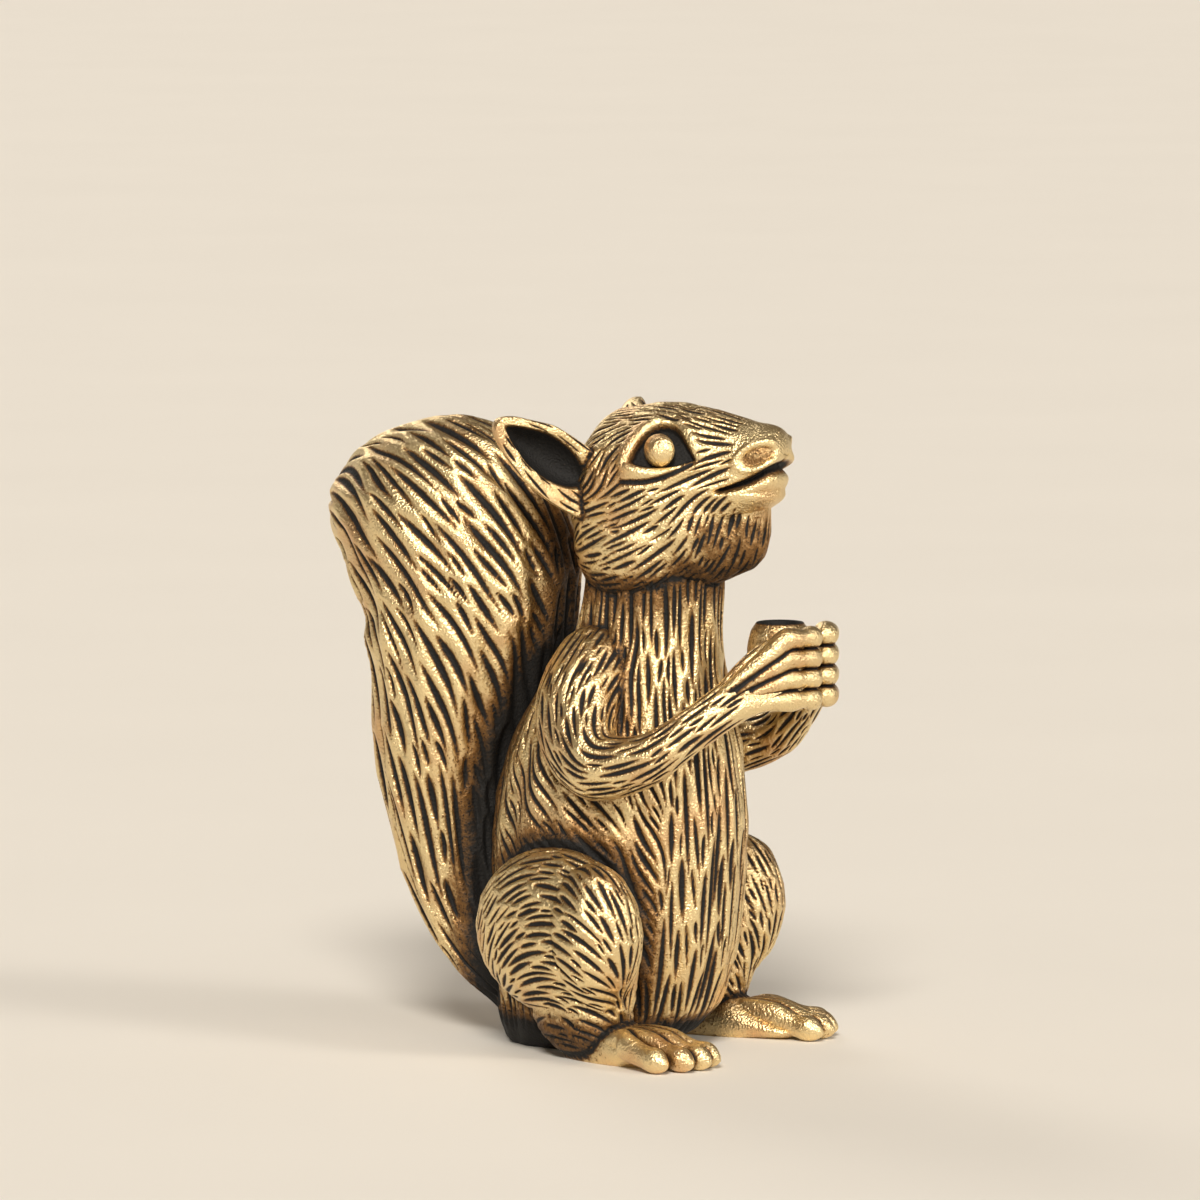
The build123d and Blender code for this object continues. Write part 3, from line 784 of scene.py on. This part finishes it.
# %% [markdown]
# ## Lie of the coat on limbs and ears
# Over the haunch the hair arches with the thigh: up at its rear, level over the middle and down at
# the knee. On the arm it runs along to the paw, which is left smooth, and on the ear it runs along
# the back and the rim, never in the hollow.

# %% Haunch coat
HAUNCH_STROKES = Strokes(pitch=0.4, shortest=1.1, longest=4.2, width=0.13, stray=0.04, seed=7)
haunch_ahead = -haunch_grid[..., 1]
haunch_up = haunch_grid[..., 2]
haunch_drop = -55 + 115 * smoothstep(-4, 11, haunch_ahead) ** 1.2 + 20 * smoothstep(9, 13, haunch_up)
haunch_cut = coat(haunch_grid, lie(np.radians(haunch_drop)), (haunch_up > 0.7) * 1.0, HAUNCH_STROKES)

# %% Arm coat
ARM_STROKES = Strokes(pitch=0.42, shortest=1.2, longest=4.6, width=0.13, stray=0.03, seed=9)
arm_allow = smoothstep(15.4, 15.0, -arm_grid[..., 1])
arm_cut = coat(arm_grid, np.gradient(arm_grid, axis=0), arm_allow, ARM_STROKES)

# %% Ear coat
EAR_STROKES = Strokes(pitch=0.38, shortest=1.2, longest=3.2, width=0.09, stray=0.1, seed=13)
ear_allow = (ear_hollow < 0.05) * (ear_rise > 0.15)[:, None] * (ear_rise < 0.9)[:, None] * 1.0
ear_cut = engrave(ear_grid, np.gradient(ear_grid, axis=0), ear_allow, EAR_STROKES)

# %% [markdown]
# ## Face
# The eye sits in an almond-shaped socket with a raised lid round it and a crease below. The nose is a
# smooth pad with an oval nostril on each side, and the mouth is a slit that opens towards the front.
# Each is a field over the head's own grid: one inside the feature and nought outside, which later
# pushes the skin in or out and blackens it.

# %% Eye socket and lids
EYE_TOP = 1.62
EYE_BOTTOM = -1.02
EYE_ARCH = 2.4
EYE_FRONT = 2.4
EYE_REAR = 1.85
LID_AWAY = 0.42
LID_WIDTH = 0.32
CREASE_UP = -2.0
CREASE_WIDTH = 0.2

head_side = np.abs(head_grid[..., 0])
head_ahead = -head_grid[..., 1]
head_up = head_grid[..., 2]
on_side = smoothstep(1.5, 2.5, head_side)
eye_ahead = head_ahead + EYE[1]
eye_up = head_up - EYE[2]
lower_line = EYE_BOTTOM + 0.097 * eye_ahead**2
half_eye = np.where(eye_ahead > 0, EYE_FRONT, EYE_REAR)
arch_power = np.where(eye_ahead > 0, 1.75, 3.0)
arch_share = np.abs(eye_ahead) / half_eye
upper_line = EYE_TOP - EYE_ARCH * arch_share**arch_power
upper_slope = EYE_ARCH * arch_power / half_eye * arch_share ** (arch_power - 1)
over = (eye_up - upper_line) / np.sqrt(1 + upper_slope**2)
outside = np.maximum(over, lower_line - eye_up)
socket = smoothstep(0.1, -0.1, outside) * on_side
lid = hump(LID_AWAY, LID_WIDTH, outside) * on_side
crease_line = CREASE_UP + 0.2 * np.clip(eye_ahead + 0.9, 0, None) ** 1.6
crease = hump(0, CREASE_WIDTH, eye_up - crease_line) * on_side * smoothstep(-2.6, -2.0, eye_ahead)
crease = crease * smoothstep(2.5, 2.0, eye_ahead)
eye_area = (np.hypot((eye_ahead + 0.2) / 2.3, (eye_up + 0.3) / 2.1) < 1) & (on_side > 0.3)
print("points in the sockets:", int((socket > 0.5).sum()))

# %% Nostrils and mouth
NOSTRIL_AHEAD = 14.1
NOSTRIL_UP = 38.6
MOUTH_CORNER = 11.6
MOUTH_UP = 36.25

past_nostril = head_ahead - NOSTRIL_AHEAD
nostril_ring = np.hypot(past_nostril / 0.95, (head_up - NOSTRIL_UP - 0.3 * past_nostril) / 0.62)
beside = smoothstep(0.7, 1.2, head_side)
nostril = smoothstep(1.1, 0.85, nostril_ring) * beside
nostril_rim = hump(1.4, 0.28, nostril_ring) * beside
past_corner = np.clip(head_ahead - MOUTH_CORNER, 0, None)
mouth_line = MOUTH_UP + 0.2 * past_corner + 0.065 * past_corner**2
mouth_half = 0.14 + 0.07 * past_corner
mouth = hump(0, 1, (head_up - mouth_line) / mouth_half) * smoothstep(11.3, 12.0, head_ahead)
cleft = hump(0, 0.18, head_grid[..., 0]) * smoothstep(14.0, 14.6, head_ahead)
cleft = cleft * smoothstep(38.6, 38.0, head_up)
cleft = cleft * smoothstep(0.0, 0.3, head_up - mouth_line)
print("points in the mouth:", int((mouth > 0.5).sum()))

# %% [markdown]
# ## Lie of the coat on the head
# From the nose the hair runs back over the brow and down round the jowls, steeper under the chin
# and behind the eye. The tuft below the chin has its own, closer strokes. Nose, lips and eyes stay
# smooth.

# %% Head coat
HEAD_STROKES = Strokes(pitch=0.36, shortest=1.0, longest=4.6, width=0.11, stray=0.04, seed=11)
TUFT_STROKES = Strokes(pitch=0.34, shortest=0.9, longest=4.0, width=0.13, stray=0.08, seed=17)
low_front = smoothstep(7, 12, head_ahead) * smoothstep(36.5, 34.0, head_up)
behind_eye = hump(4.2, 1.6, head_ahead) * smoothstep(35.5, 37.0, head_up) * smoothstep(41.0, 39.5, head_up)
head_drop = np.radians(24 - 24 * smoothstep(38, 40, head_up) + 50 * low_front + 50 * behind_eye)
head_drop = head_drop - np.radians(18) * smoothstep(5, 2, head_ahead) * smoothstep(34, 31, head_up)
head_flow = lie(head_drop) * (1, -1, 1)
smooth_nose = smoothstep(12.3, 12.9, head_ahead) * smoothstep(34.9, 35.2, head_up)
head_allow = (1 - smooth_nose) * (mouth < 0.1) * ~eye_area * (head_up > 28)
in_tuft = smoothstep(9.5, 10.5, head_ahead) * smoothstep(35.2, 34.6, head_up)
head_cut = coat(head_grid, head_flow, head_allow, HEAD_STROKES)
tuft_cut = engrave(head_grid, head_flow, in_tuft, TUFT_STROKES)
head_cut = merged([cut * (1 - in_tuft) for cut in head_cut], tuft_cut)

# %% [markdown]
# ## Finish
# The metal is cast brass, blackened in a bath and rubbed back. To the eye that gives a warm yellow
# with redder patches on the high parts, brown where the blackening is rubbed thin, and a dull black
# in grooves and corners. How dark a place is comes from the piece's own attribute, which keeps the
# finish tied to the shape. The same attribute also carries painted shade, in the same brown and black:
# under the jaw and the chin tuft, at the heels, along the bottom of the torso and round the corners
# between pieces. Grain and pits, too fine for the mesh, break up the edge between the two; the pits
# are drawn a little coarser than real ones, so that they show.


# %% Material tools
def colour(code):
    """An sRGB colour written as six hex digits, as linear red, green, blue and alpha."""
    parts = np.array([int(code[i:i + 2], 16) for i in (0, 2, 4)]) / 255
    linear = np.where(parts <= 0.04045, parts / 12.92, ((parts + 0.055) / 1.055) ** 2.4)
    return (*linear, 1.0)


def add_node(tree, kind, links=None, values=None, **settings):
    """A new node with its settings, its socket values, and links into its inputs."""
    node = tree.nodes.new(kind)
    for name, value in settings.items():
        setattr(node, name, value)
    for socket, value in (values or {}).items():
        node.inputs[socket].default_value = value
    for socket, source in (links or {}).items():
        tree.links.new(source, node.inputs[socket])
    return node


def new_material(name):
    """An empty node material and its tree."""
    material = bpy.data.materials.new(name)
    material.use_nodes = True
    material.node_tree.nodes.clear()
    return material, material.node_tree


print("middle grey is", round(float(colour("808080")[0]), 3), "in linear light")

# %% Antique brass
BRIGHT_BRASS = "F2DAA6"
RED_BRASS = "D8AC7C"
# Brown and black stand for thin and thick patina, and also for painted shade under the jaw, at the heels,
# along the seat and round corners.
BROWN_PATINA_AND_SHADE = "946B3C"
BLACK_PATINA_AND_SHADE = "0C0A08"
# Sizes in millimetres of red patches, grain, pits and shallow dents
PATCH = 3.85
GRAIN = 0.385
SPECK = 0.154
DENT = 1.1
# Sockets of a colour Mix node: its two colours and its result
FIRST = 6
SECOND = 7
MIXED = 2


def antique_brass(name):
    """Brass under a patina with painted shade: the attribute that holds both, roughened by grain and
    pits, first turns the metal brown and then black, and the black is rougher and less metallic."""
    material, tree = new_material(name)
    place = add_node(tree, "ShaderNodeTexCoord").outputs["Object"]
    dark = add_node(tree, "ShaderNodeAttribute", attribute_name="patina_and_shade").outputs["Fac"]
    patch, grain, specks, dents = (
        add_node(
            tree, "ShaderNodeTexNoise", {"Vector": place}, {"Scale": 1 / (size * MM), "Detail": detail}
        ).outputs["Fac"]
        for size, detail in ((PATCH, 3.0), (GRAIN, 4.0), (SPECK, 2.0), (DENT, 2.0))
    )
    tint = add_node(
        tree, "ShaderNodeMapRange", {"Value": patch},
        {"From Min": 0.45, "From Max": 0.75, "To Min": 0.0, "To Max": 0.85},
        interpolation_type="SMOOTHSTEP")
    metal = add_node(
        tree, "ShaderNodeMix", {"Factor": tint.outputs["Result"]},
        {FIRST: colour(BRIGHT_BRASS), SECOND: colour(RED_BRASS)}, data_type="RGBA")
    pits = add_node(
        tree, "ShaderNodeMapRange", {"Value": specks},
        {"From Min": 0.56, "From Max": 0.74, "To Min": 0.0, "To Max": 0.3})
    jitter = add_node(
        tree, "ShaderNodeMapRange", {"Value": grain},
        {"From Min": 0.3, "From Max": 0.7, "To Min": -0.08, "To Max": 0.08})
    grainy = add_node(
        tree, "ShaderNodeMath", {0: jitter.outputs["Result"], 1: pits.outputs["Result"]}, operation="ADD")
    patina_and_shade = add_node(tree, "ShaderNodeMath", {0: dark, 1: grainy.outputs["Value"]}, operation="ADD")
    # The brown share and then the black share, of patina and painted shade alike.
    thin = add_node(
        tree, "ShaderNodeMapRange", {"Value": patina_and_shade.outputs["Value"]},
        {"From Min": 0.14, "From Max": 0.5}, interpolation_type="SMOOTHSTEP")
    black_share = add_node(
        tree, "ShaderNodeMapRange", {"Value": patina_and_shade.outputs["Value"]},
        {"From Min": 0.3, "From Max": 0.75}, interpolation_type="SMOOTHSTEP").outputs["Result"]
    browned = add_node(
        tree, "ShaderNodeMix", {"Factor": thin.outputs["Result"], FIRST: metal.outputs[MIXED]},
        {SECOND: colour(BROWN_PATINA_AND_SHADE)}, data_type="RGBA")
    blackened = add_node(
        tree, "ShaderNodeMix", {"Factor": black_share, FIRST: browned.outputs[MIXED]},
        {SECOND: colour(BLACK_PATINA_AND_SHADE)}, data_type="RGBA")
    rough = add_node(tree, "ShaderNodeMapRange", {"Value": black_share}, {"To Min": 0.33, "To Max": 0.7})
    metallic = add_node(tree, "ShaderNodeMapRange", {"Value": black_share}, {"To Min": 1.0, "To Max": 0.2})
    dented = add_node(
        tree, "ShaderNodeBump", {"Height": dents}, {"Strength": 0.35, "Distance": 0.1 * MM})
    pitted = add_node(
        tree, "ShaderNodeBump", {"Height": specks, "Normal": dented.outputs["Normal"]},
        {"Strength": 0.9, "Distance": 0.1 * MM})
    shader = add_node(
        tree, "ShaderNodeBsdfPrincipled",
        {
            "Base Color": blackened.outputs[MIXED],
            "Roughness": rough.outputs["Result"],
            "Metallic": metallic.outputs["Result"],
            "Normal": pitted.outputs["Normal"],
        })
    add_node(tree, "ShaderNodeOutputMaterial", {"Surface": shader.outputs["BSDF"]})
    return material


brass = antique_brass("antique brass")
print("material", brass.name)

# %% [markdown]
# ## Making the pieces
# A piece is one mesh of one or more closed tubes. Each ring is joined to the next by quads, and
# each end is closed by a fan to a single point. The quads are cut into triangles along the edges of
# the strokes, or a stroke that crosses the grid would have saw teeth. Each piece takes the place of
# its CAD node and rides on the one body.


# %% Skins and triangles
def skin(grid):
    """Points, quads and end fans of a closed tube, wound so that the faces look outward."""
    rows, columns = grid.shape[:2]
    points = np.concatenate([grid[:1, 0], grid[1:-1].reshape(-1, 3), grid[-1:, 0]])
    ring = 1 + np.arange(rows - 3)[:, None] * columns
    here = np.arange(columns)[None]
    after = (here + 1) % columns
    quads = np.stack([ring + here, ring + after, ring + columns + after, ring + columns + here], -1)
    quads = quads.reshape(-1, 4)
    last = len(points) - 1
    end = last - columns
    start_fan = np.stack([0 * here, 1 + after, 1 + here], -1).reshape(-1, 3)
    end_fan = np.stack([0 * here + last, end + here, end + after], -1).reshape(-1, 3)
    fans = np.concatenate([start_fan, end_fan])
    a, b, c = (points[quads[:, i]] for i in range(3))
    volume = (np.cross(b - a, c - a) * (a - points.mean(0))).sum()
    if volume < 0:
        return points, quads[:, ::-1], fans[:, ::-1]
    return points, quads, fans


def flatten(field):
    """A grid of values in the order of the skin's points."""
    return np.concatenate([field[:1, 0], field[1:-1].ravel(), field[-1:, 0]])


def split(quads, field):
    """Each quad as two triangles, cut along the diagonal whose ends differ less in the field, so
    that the edges of a stroke stay clean where it crosses the grid."""
    value = field[quads]
    other_way = np.abs(value[:, 0] - value[:, 2]) > np.abs(value[:, 1] - value[:, 3])
    quads = np.where(other_way[:, None], np.roll(quads, 1, axis=1), quads)
    return np.concatenate([quads[:, [0, 1, 2]], quads[:, [0, 2, 3]]])


print("quads of the torso:", len(skin(torso_grid)[1]))


# %% A piece, and a pair
def make_piece(name, tubes):
    """One mesh object in metres from (grid, patina and painted shade) tubes, riding on the frame in its
    node's place.
    """
    points, quads, fans, patina_and_shade = [], [], [], []
    base = 0
    for grid, dark in tubes:
        tube_points, tube_quads, tube_fans = skin(grid)
        points.append(tube_points)
        quads.append(tube_quads + base)
        fans.append(tube_fans + base)
        patina_and_shade.append(flatten(dark))
        base += len(tube_points)
    points = np.concatenate(points) * MM
    patina_and_shade = np.clip(np.concatenate(patina_and_shade), 0, 1)
    corners = np.concatenate([split(np.concatenate(quads), patina_and_shade), np.concatenate(fans)])
    mesh = bpy.data.meshes.new(name)
    mesh.vertices.add(len(points))
    mesh.vertices.foreach_set("co", points.astype(np.float32).ravel())
    mesh.loops.add(corners.size)
    mesh.loops.foreach_set("vertex_index", corners.astype(np.int32).ravel())
    mesh.polygons.add(len(corners))
    mesh.polygons.foreach_set("loop_start", 3 * np.arange(len(corners), dtype=np.int32))
    mesh.polygons.foreach_set("use_smooth", np.ones(len(corners), bool))
    mesh.update(calc_edges=True)
    mesh.validate()
    # The attribute holds patina and painted shade together.
    layer = mesh.attributes.new("patina_and_shade", "FLOAT", "POINT")
    layer.data.foreach_set("value", patina_and_shade.astype(np.float32))
    mesh.materials.append(brass)
    piece = bpy.data.objects.new(f"brass_{name}", mesh)
    bpy.context.collection.objects.link(piece)
    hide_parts(name)
    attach(piece, "root")
    print(name, len(corners), "triangles")


def make_pair(name, tubes):
    """A right-hand piece and its left-hand twin."""
    make_piece(f"right_{name}", tubes)
    make_piece(f"left_{name}", [(mirrored(grid), dark[:, ::-1]) for grid, dark in tubes])


# %% [markdown]
# ## Pressing the grooves in
# A groove lowers the skin along its normal, nearly half of it as the narrow bell and the rest as
# the wide shoulder. The darkest of groove, corner, feature and painted shade wins at each point. The
# depth of the strokes, in millimetres, goes with the size of the piece.


# %% Torso, tail and haunches
def cut_tube(grid, cuts, dark, depth, raised=0.0, more_dark=0.0):
    """A grid pressed in along its normals by its cuts and raised by its features, with its patina and
    painted shade.
    """
    groove, shoulder = cuts
    lowered = depth * (0.45 * groove + 0.55 * shoulder)
    patina_and_shade = np.maximum.reduce([1.15 * groove, dark, 0 * groove + more_dark])
    return grid + normals(grid) * (raised - lowered)[..., None], patina_and_shade


TORSO_DEPTH = 0.3
TAIL_DEPTH = 0.4
HAUNCH_DEPTH = 0.24
# Painted shade: the bottom of the torso is darkened towards the floor, black in its lowest few millimetres
# all round and brown up to 4.5 mm at the rear.
seat_rear_shade = 0.6 * smoothstep(4.5, 1.5, torso_up) * smoothstep(-6.0, -1.0, torso_grid[..., 1])
seat_edge_shade = 0.85 * smoothstep(3.4, 1.2, torso_up)
seat_painted_shade = np.maximum(seat_rear_shade, seat_edge_shade)
# Painted shade: each haunch is darkened towards the floor at the heel, below 4.4 mm.
heel_painted_shade = 0.55 * smoothstep(4.4, 1.6, haunch_up)
make_piece("torso", [cut_tube(torso_grid, torso_cut, torso_dark, TORSO_DEPTH, more_dark=seat_painted_shade)])
make_piece("tail", [cut_tube(tail_grid, tail_cut, tail_dark, TAIL_DEPTH)])
make_pair("haunch", [cut_tube(haunch_grid, haunch_cut, haunch_dark, HAUNCH_DEPTH, more_dark=heel_painted_shade)])

# %% Head with its face
HEAD_DEPTH = 0.17
face_shape = 0.2 * lid - 0.75 * socket - 0.16 * crease
face_shape = face_shape - 0.22 * nostril + 0.14 * nostril_rim - 0.75 * mouth - 0.3 * cleft
# Painted shade under the chin: the chin tuft is darkened brown.
tuft_painted_shade = 0.42 * smoothstep(9.0, 11.0, head_ahead) * smoothstep(35.0, 34.0, head_up)
# Painted shade under the jaw: skin that faces down, below 34 mm, is darkened brown.
facing_down = smoothstep(-0.15, -0.7, normals(head_grid)[..., 2])
jaw_painted_shade = 0.55 * facing_down * smoothstep(34.0, 32.0, head_up)
face_dark = np.maximum.reduce([tuft_painted_shade, jaw_painted_shade, socket, crease, 0.4 * nostril, mouth, cleft])
make_piece("head", [cut_tube(head_grid, head_cut, head_dark, HEAD_DEPTH, face_shape, face_dark)])

# %% Arms and feet
ARM_DEPTH = 0.18
arm_tubes = [cut_tube(arm_grid, arm_cut, arm_dark, ARM_DEPTH), *zip(fingers, finger_dark)]
make_pair("arm", arm_tubes)
make_pair("foot", [(foot_grid, foot_dark), *zip(toes, toe_dark)])

# %% Ears, eyes and nut
EAR_DEPTH = 0.12
nut_share = np.linspace(0, 1, len(nut_grid))[:, None]
nut_recess = np.maximum(smoothstep(0.72, 0.78, nut_share), 0.3)
make_pair("ear", [cut_tube(ear_grid, ear_cut, ear_dark, EAR_DEPTH, more_dark=ear_hollow)])
make_pair("eye", [(eye_grid, np.zeros(eye_grid.shape[:2]))])
make_piece("nut", [(nut_grid, np.maximum(nut_dark, nut_recess))])

# %% [markdown]
# ## Floor
# The squirrel stands on a plain pale floor that runs on past the edges of the picture, so nothing
# shows behind it. Its paleness is its colour and not more light, which keeps the shadow and leaves
# the brass as it is.

# %% Floor
FLOOR_REACH = 4.0
FLOOR_COLOUR = "EAE6DE"
MOTTLE_COLOUR = "E6E2DA"
MOTTLE = 33.0


def matt_floor(name):
    """A matt pale surface with a very faint mottling."""
    material, tree = new_material(name)
    place = add_node(tree, "ShaderNodeTexCoord").outputs["Object"]
    mottle = add_node(tree, "ShaderNodeTexNoise", {"Vector": place}, {"Scale": 1 / (MOTTLE * MM)})
    mottled = add_node(
        tree, "ShaderNodeMix", {"Factor": mottle.outputs["Fac"]},
        {FIRST: colour(FLOOR_COLOUR), SECOND: colour(MOTTLE_COLOUR)}, data_type="RGBA")
    shader = add_node(
        tree, "ShaderNodeBsdfPrincipled", {"Base Color": mottled.outputs[MIXED]}, {"Roughness": 0.7})
    add_node(tree, "ShaderNodeOutputMaterial", {"Surface": shader.outputs["BSDF"]})
    return material


floor_corners = [(x * FLOOR_REACH, y * FLOOR_REACH, 0) for x, y in ((-1, -1), (1, -1), (1, 1), (-1, 1))]
floor_mesh = bpy.data.meshes.new("floor")
floor_mesh.from_pydata(floor_corners, [], [(0, 1, 2, 3)])
floor_mesh.materials.append(matt_floor("pale floor"))
floor = bpy.data.objects.new("floor", floor_mesh)
bpy.context.collection.objects.link(floor)
print("floor", 2 * FLOOR_REACH, "m wide")

# %% [markdown]
# ## Light
# Brass looks like brass only when it has something light and something dark to mirror. The low part
# of the surroundings is pale and the upper part a dim brown. Four lamps with parallel light shape
# the figure: a key from its right, one from the front, a rim from behind and a broad one from a
# high window. Area lamps would give an uneven floor this close to so small a figure.


# %% Lamps
def aimed(place, back):
    """The matrix of a lamp or camera at a place that looks along minus back, upright."""
    right = unit(np.cross((0, 0, 1), back))
    matrix = np.eye(4)
    matrix[:3, 0] = right
    matrix[:3, 1] = np.cross(back, right)
    matrix[:3, 2] = back
    matrix[:3, 3] = place
    return matrix.T.tolist()


def soft_light(name, place, spread, power, code):
    """Parallel light from the direction of a place, softened as by a lamp that many degrees wide."""
    lamp = bpy.data.lights.new(name, "SUN")
    lamp.angle = np.radians(spread)
    lamp.energy = power
    lamp.color = colour(code)[:3]
    holder = bpy.data.objects.new(name, lamp)
    bpy.context.collection.objects.link(holder)
    holder.matrix_world = aimed(place, unit(np.array(place)))
    print(name, "light from", place)


soft_light("key", (-0.50, -0.25, 0.43), spread=16, power=2.9, code="FFF8EE")
soft_light("front", (-0.02, -0.60, 0.28), spread=14, power=0.95, code="FFF8EE")
soft_light("rim", (0.30, 0.45, 0.33), spread=20, power=0.6, code="FFF8EE")
soft_light("window", (-0.28, -0.54, 0.77), spread=60, power=0.4, code="FFFFFF")

# %% Surroundings
LOW_COLOUR = "E4DFD6"
HIGH_COLOUR = "6A6054"
world = bpy.data.worlds.new("studio")
bpy.context.scene.world = world
world.use_nodes = True
world_tree = world.node_tree
world_tree.nodes.clear()
sight = add_node(world_tree, "ShaderNodeTexCoord").outputs["Generated"]
height = add_node(world_tree, "ShaderNodeSeparateXYZ", {"Vector": sight}).outputs["Z"]
above = add_node(
    world_tree, "ShaderNodeMapRange", {"Value": height}, {"From Min": 0.08, "From Max": 0.26},
    interpolation_type="SMOOTHSTEP")
walls = add_node(
    world_tree, "ShaderNodeMix", {"Factor": above.outputs["Result"]},
    {FIRST: colour(LOW_COLOUR), SECOND: colour(HIGH_COLOUR)}, data_type="RGBA")
room_light = add_node(
    world_tree, "ShaderNodeBackground", {"Color": walls.outputs[MIXED]}, {"Strength": 1.0})
add_node(world_tree, "ShaderNodeOutputWorld", {"Surface": room_light.outputs["Background"]})
print("surroundings", LOW_COLOUR, "below", HIGH_COLOUR)

# %% [markdown]
# ## Camera
# The photograph looks at the squirrel from its right front and a little above, from far off, so
# lines hardly converge. A long lens at 0.7 m gives the same. Its focal length follows from the
# width of the view at that distance.

# %% Camera
AZIMUTH = np.radians(-60.0)
ELEVATION = np.radians(6.0)
DISTANCE = 0.7
FRAME_WIDTH = 0.0768
SENSOR_WIDTH = 36.0
LOOK_AT = np.array((0, -0.0053, 0.0288))
LOOK_ASIDE = 0.0033

sideways = np.array((np.cos(AZIMUTH), np.sin(AZIMUTH), 0))
level = np.array((np.sin(AZIMUTH), -np.cos(AZIMUTH), 0))
backwards = np.cos(ELEVATION) * level + np.array((0, 0, np.sin(ELEVATION)))
camera_data = bpy.data.cameras.new("camera")
camera_data.sensor_width = SENSOR_WIDTH
camera_data.lens = SENSOR_WIDTH * DISTANCE / FRAME_WIDTH
camera_data.dof.use_dof = False
camera = bpy.data.objects.new("camera", camera_data)
bpy.context.collection.objects.link(camera)
camera.matrix_world = aimed(LOOK_AT - LOOK_ASIDE * sideways + backwards * DISTANCE, backwards)
bpy.context.scene.camera = camera
bpy.context.scene.view_settings.view_transform = "Standard"
print("lens", round(camera_data.lens, 1), "mm")
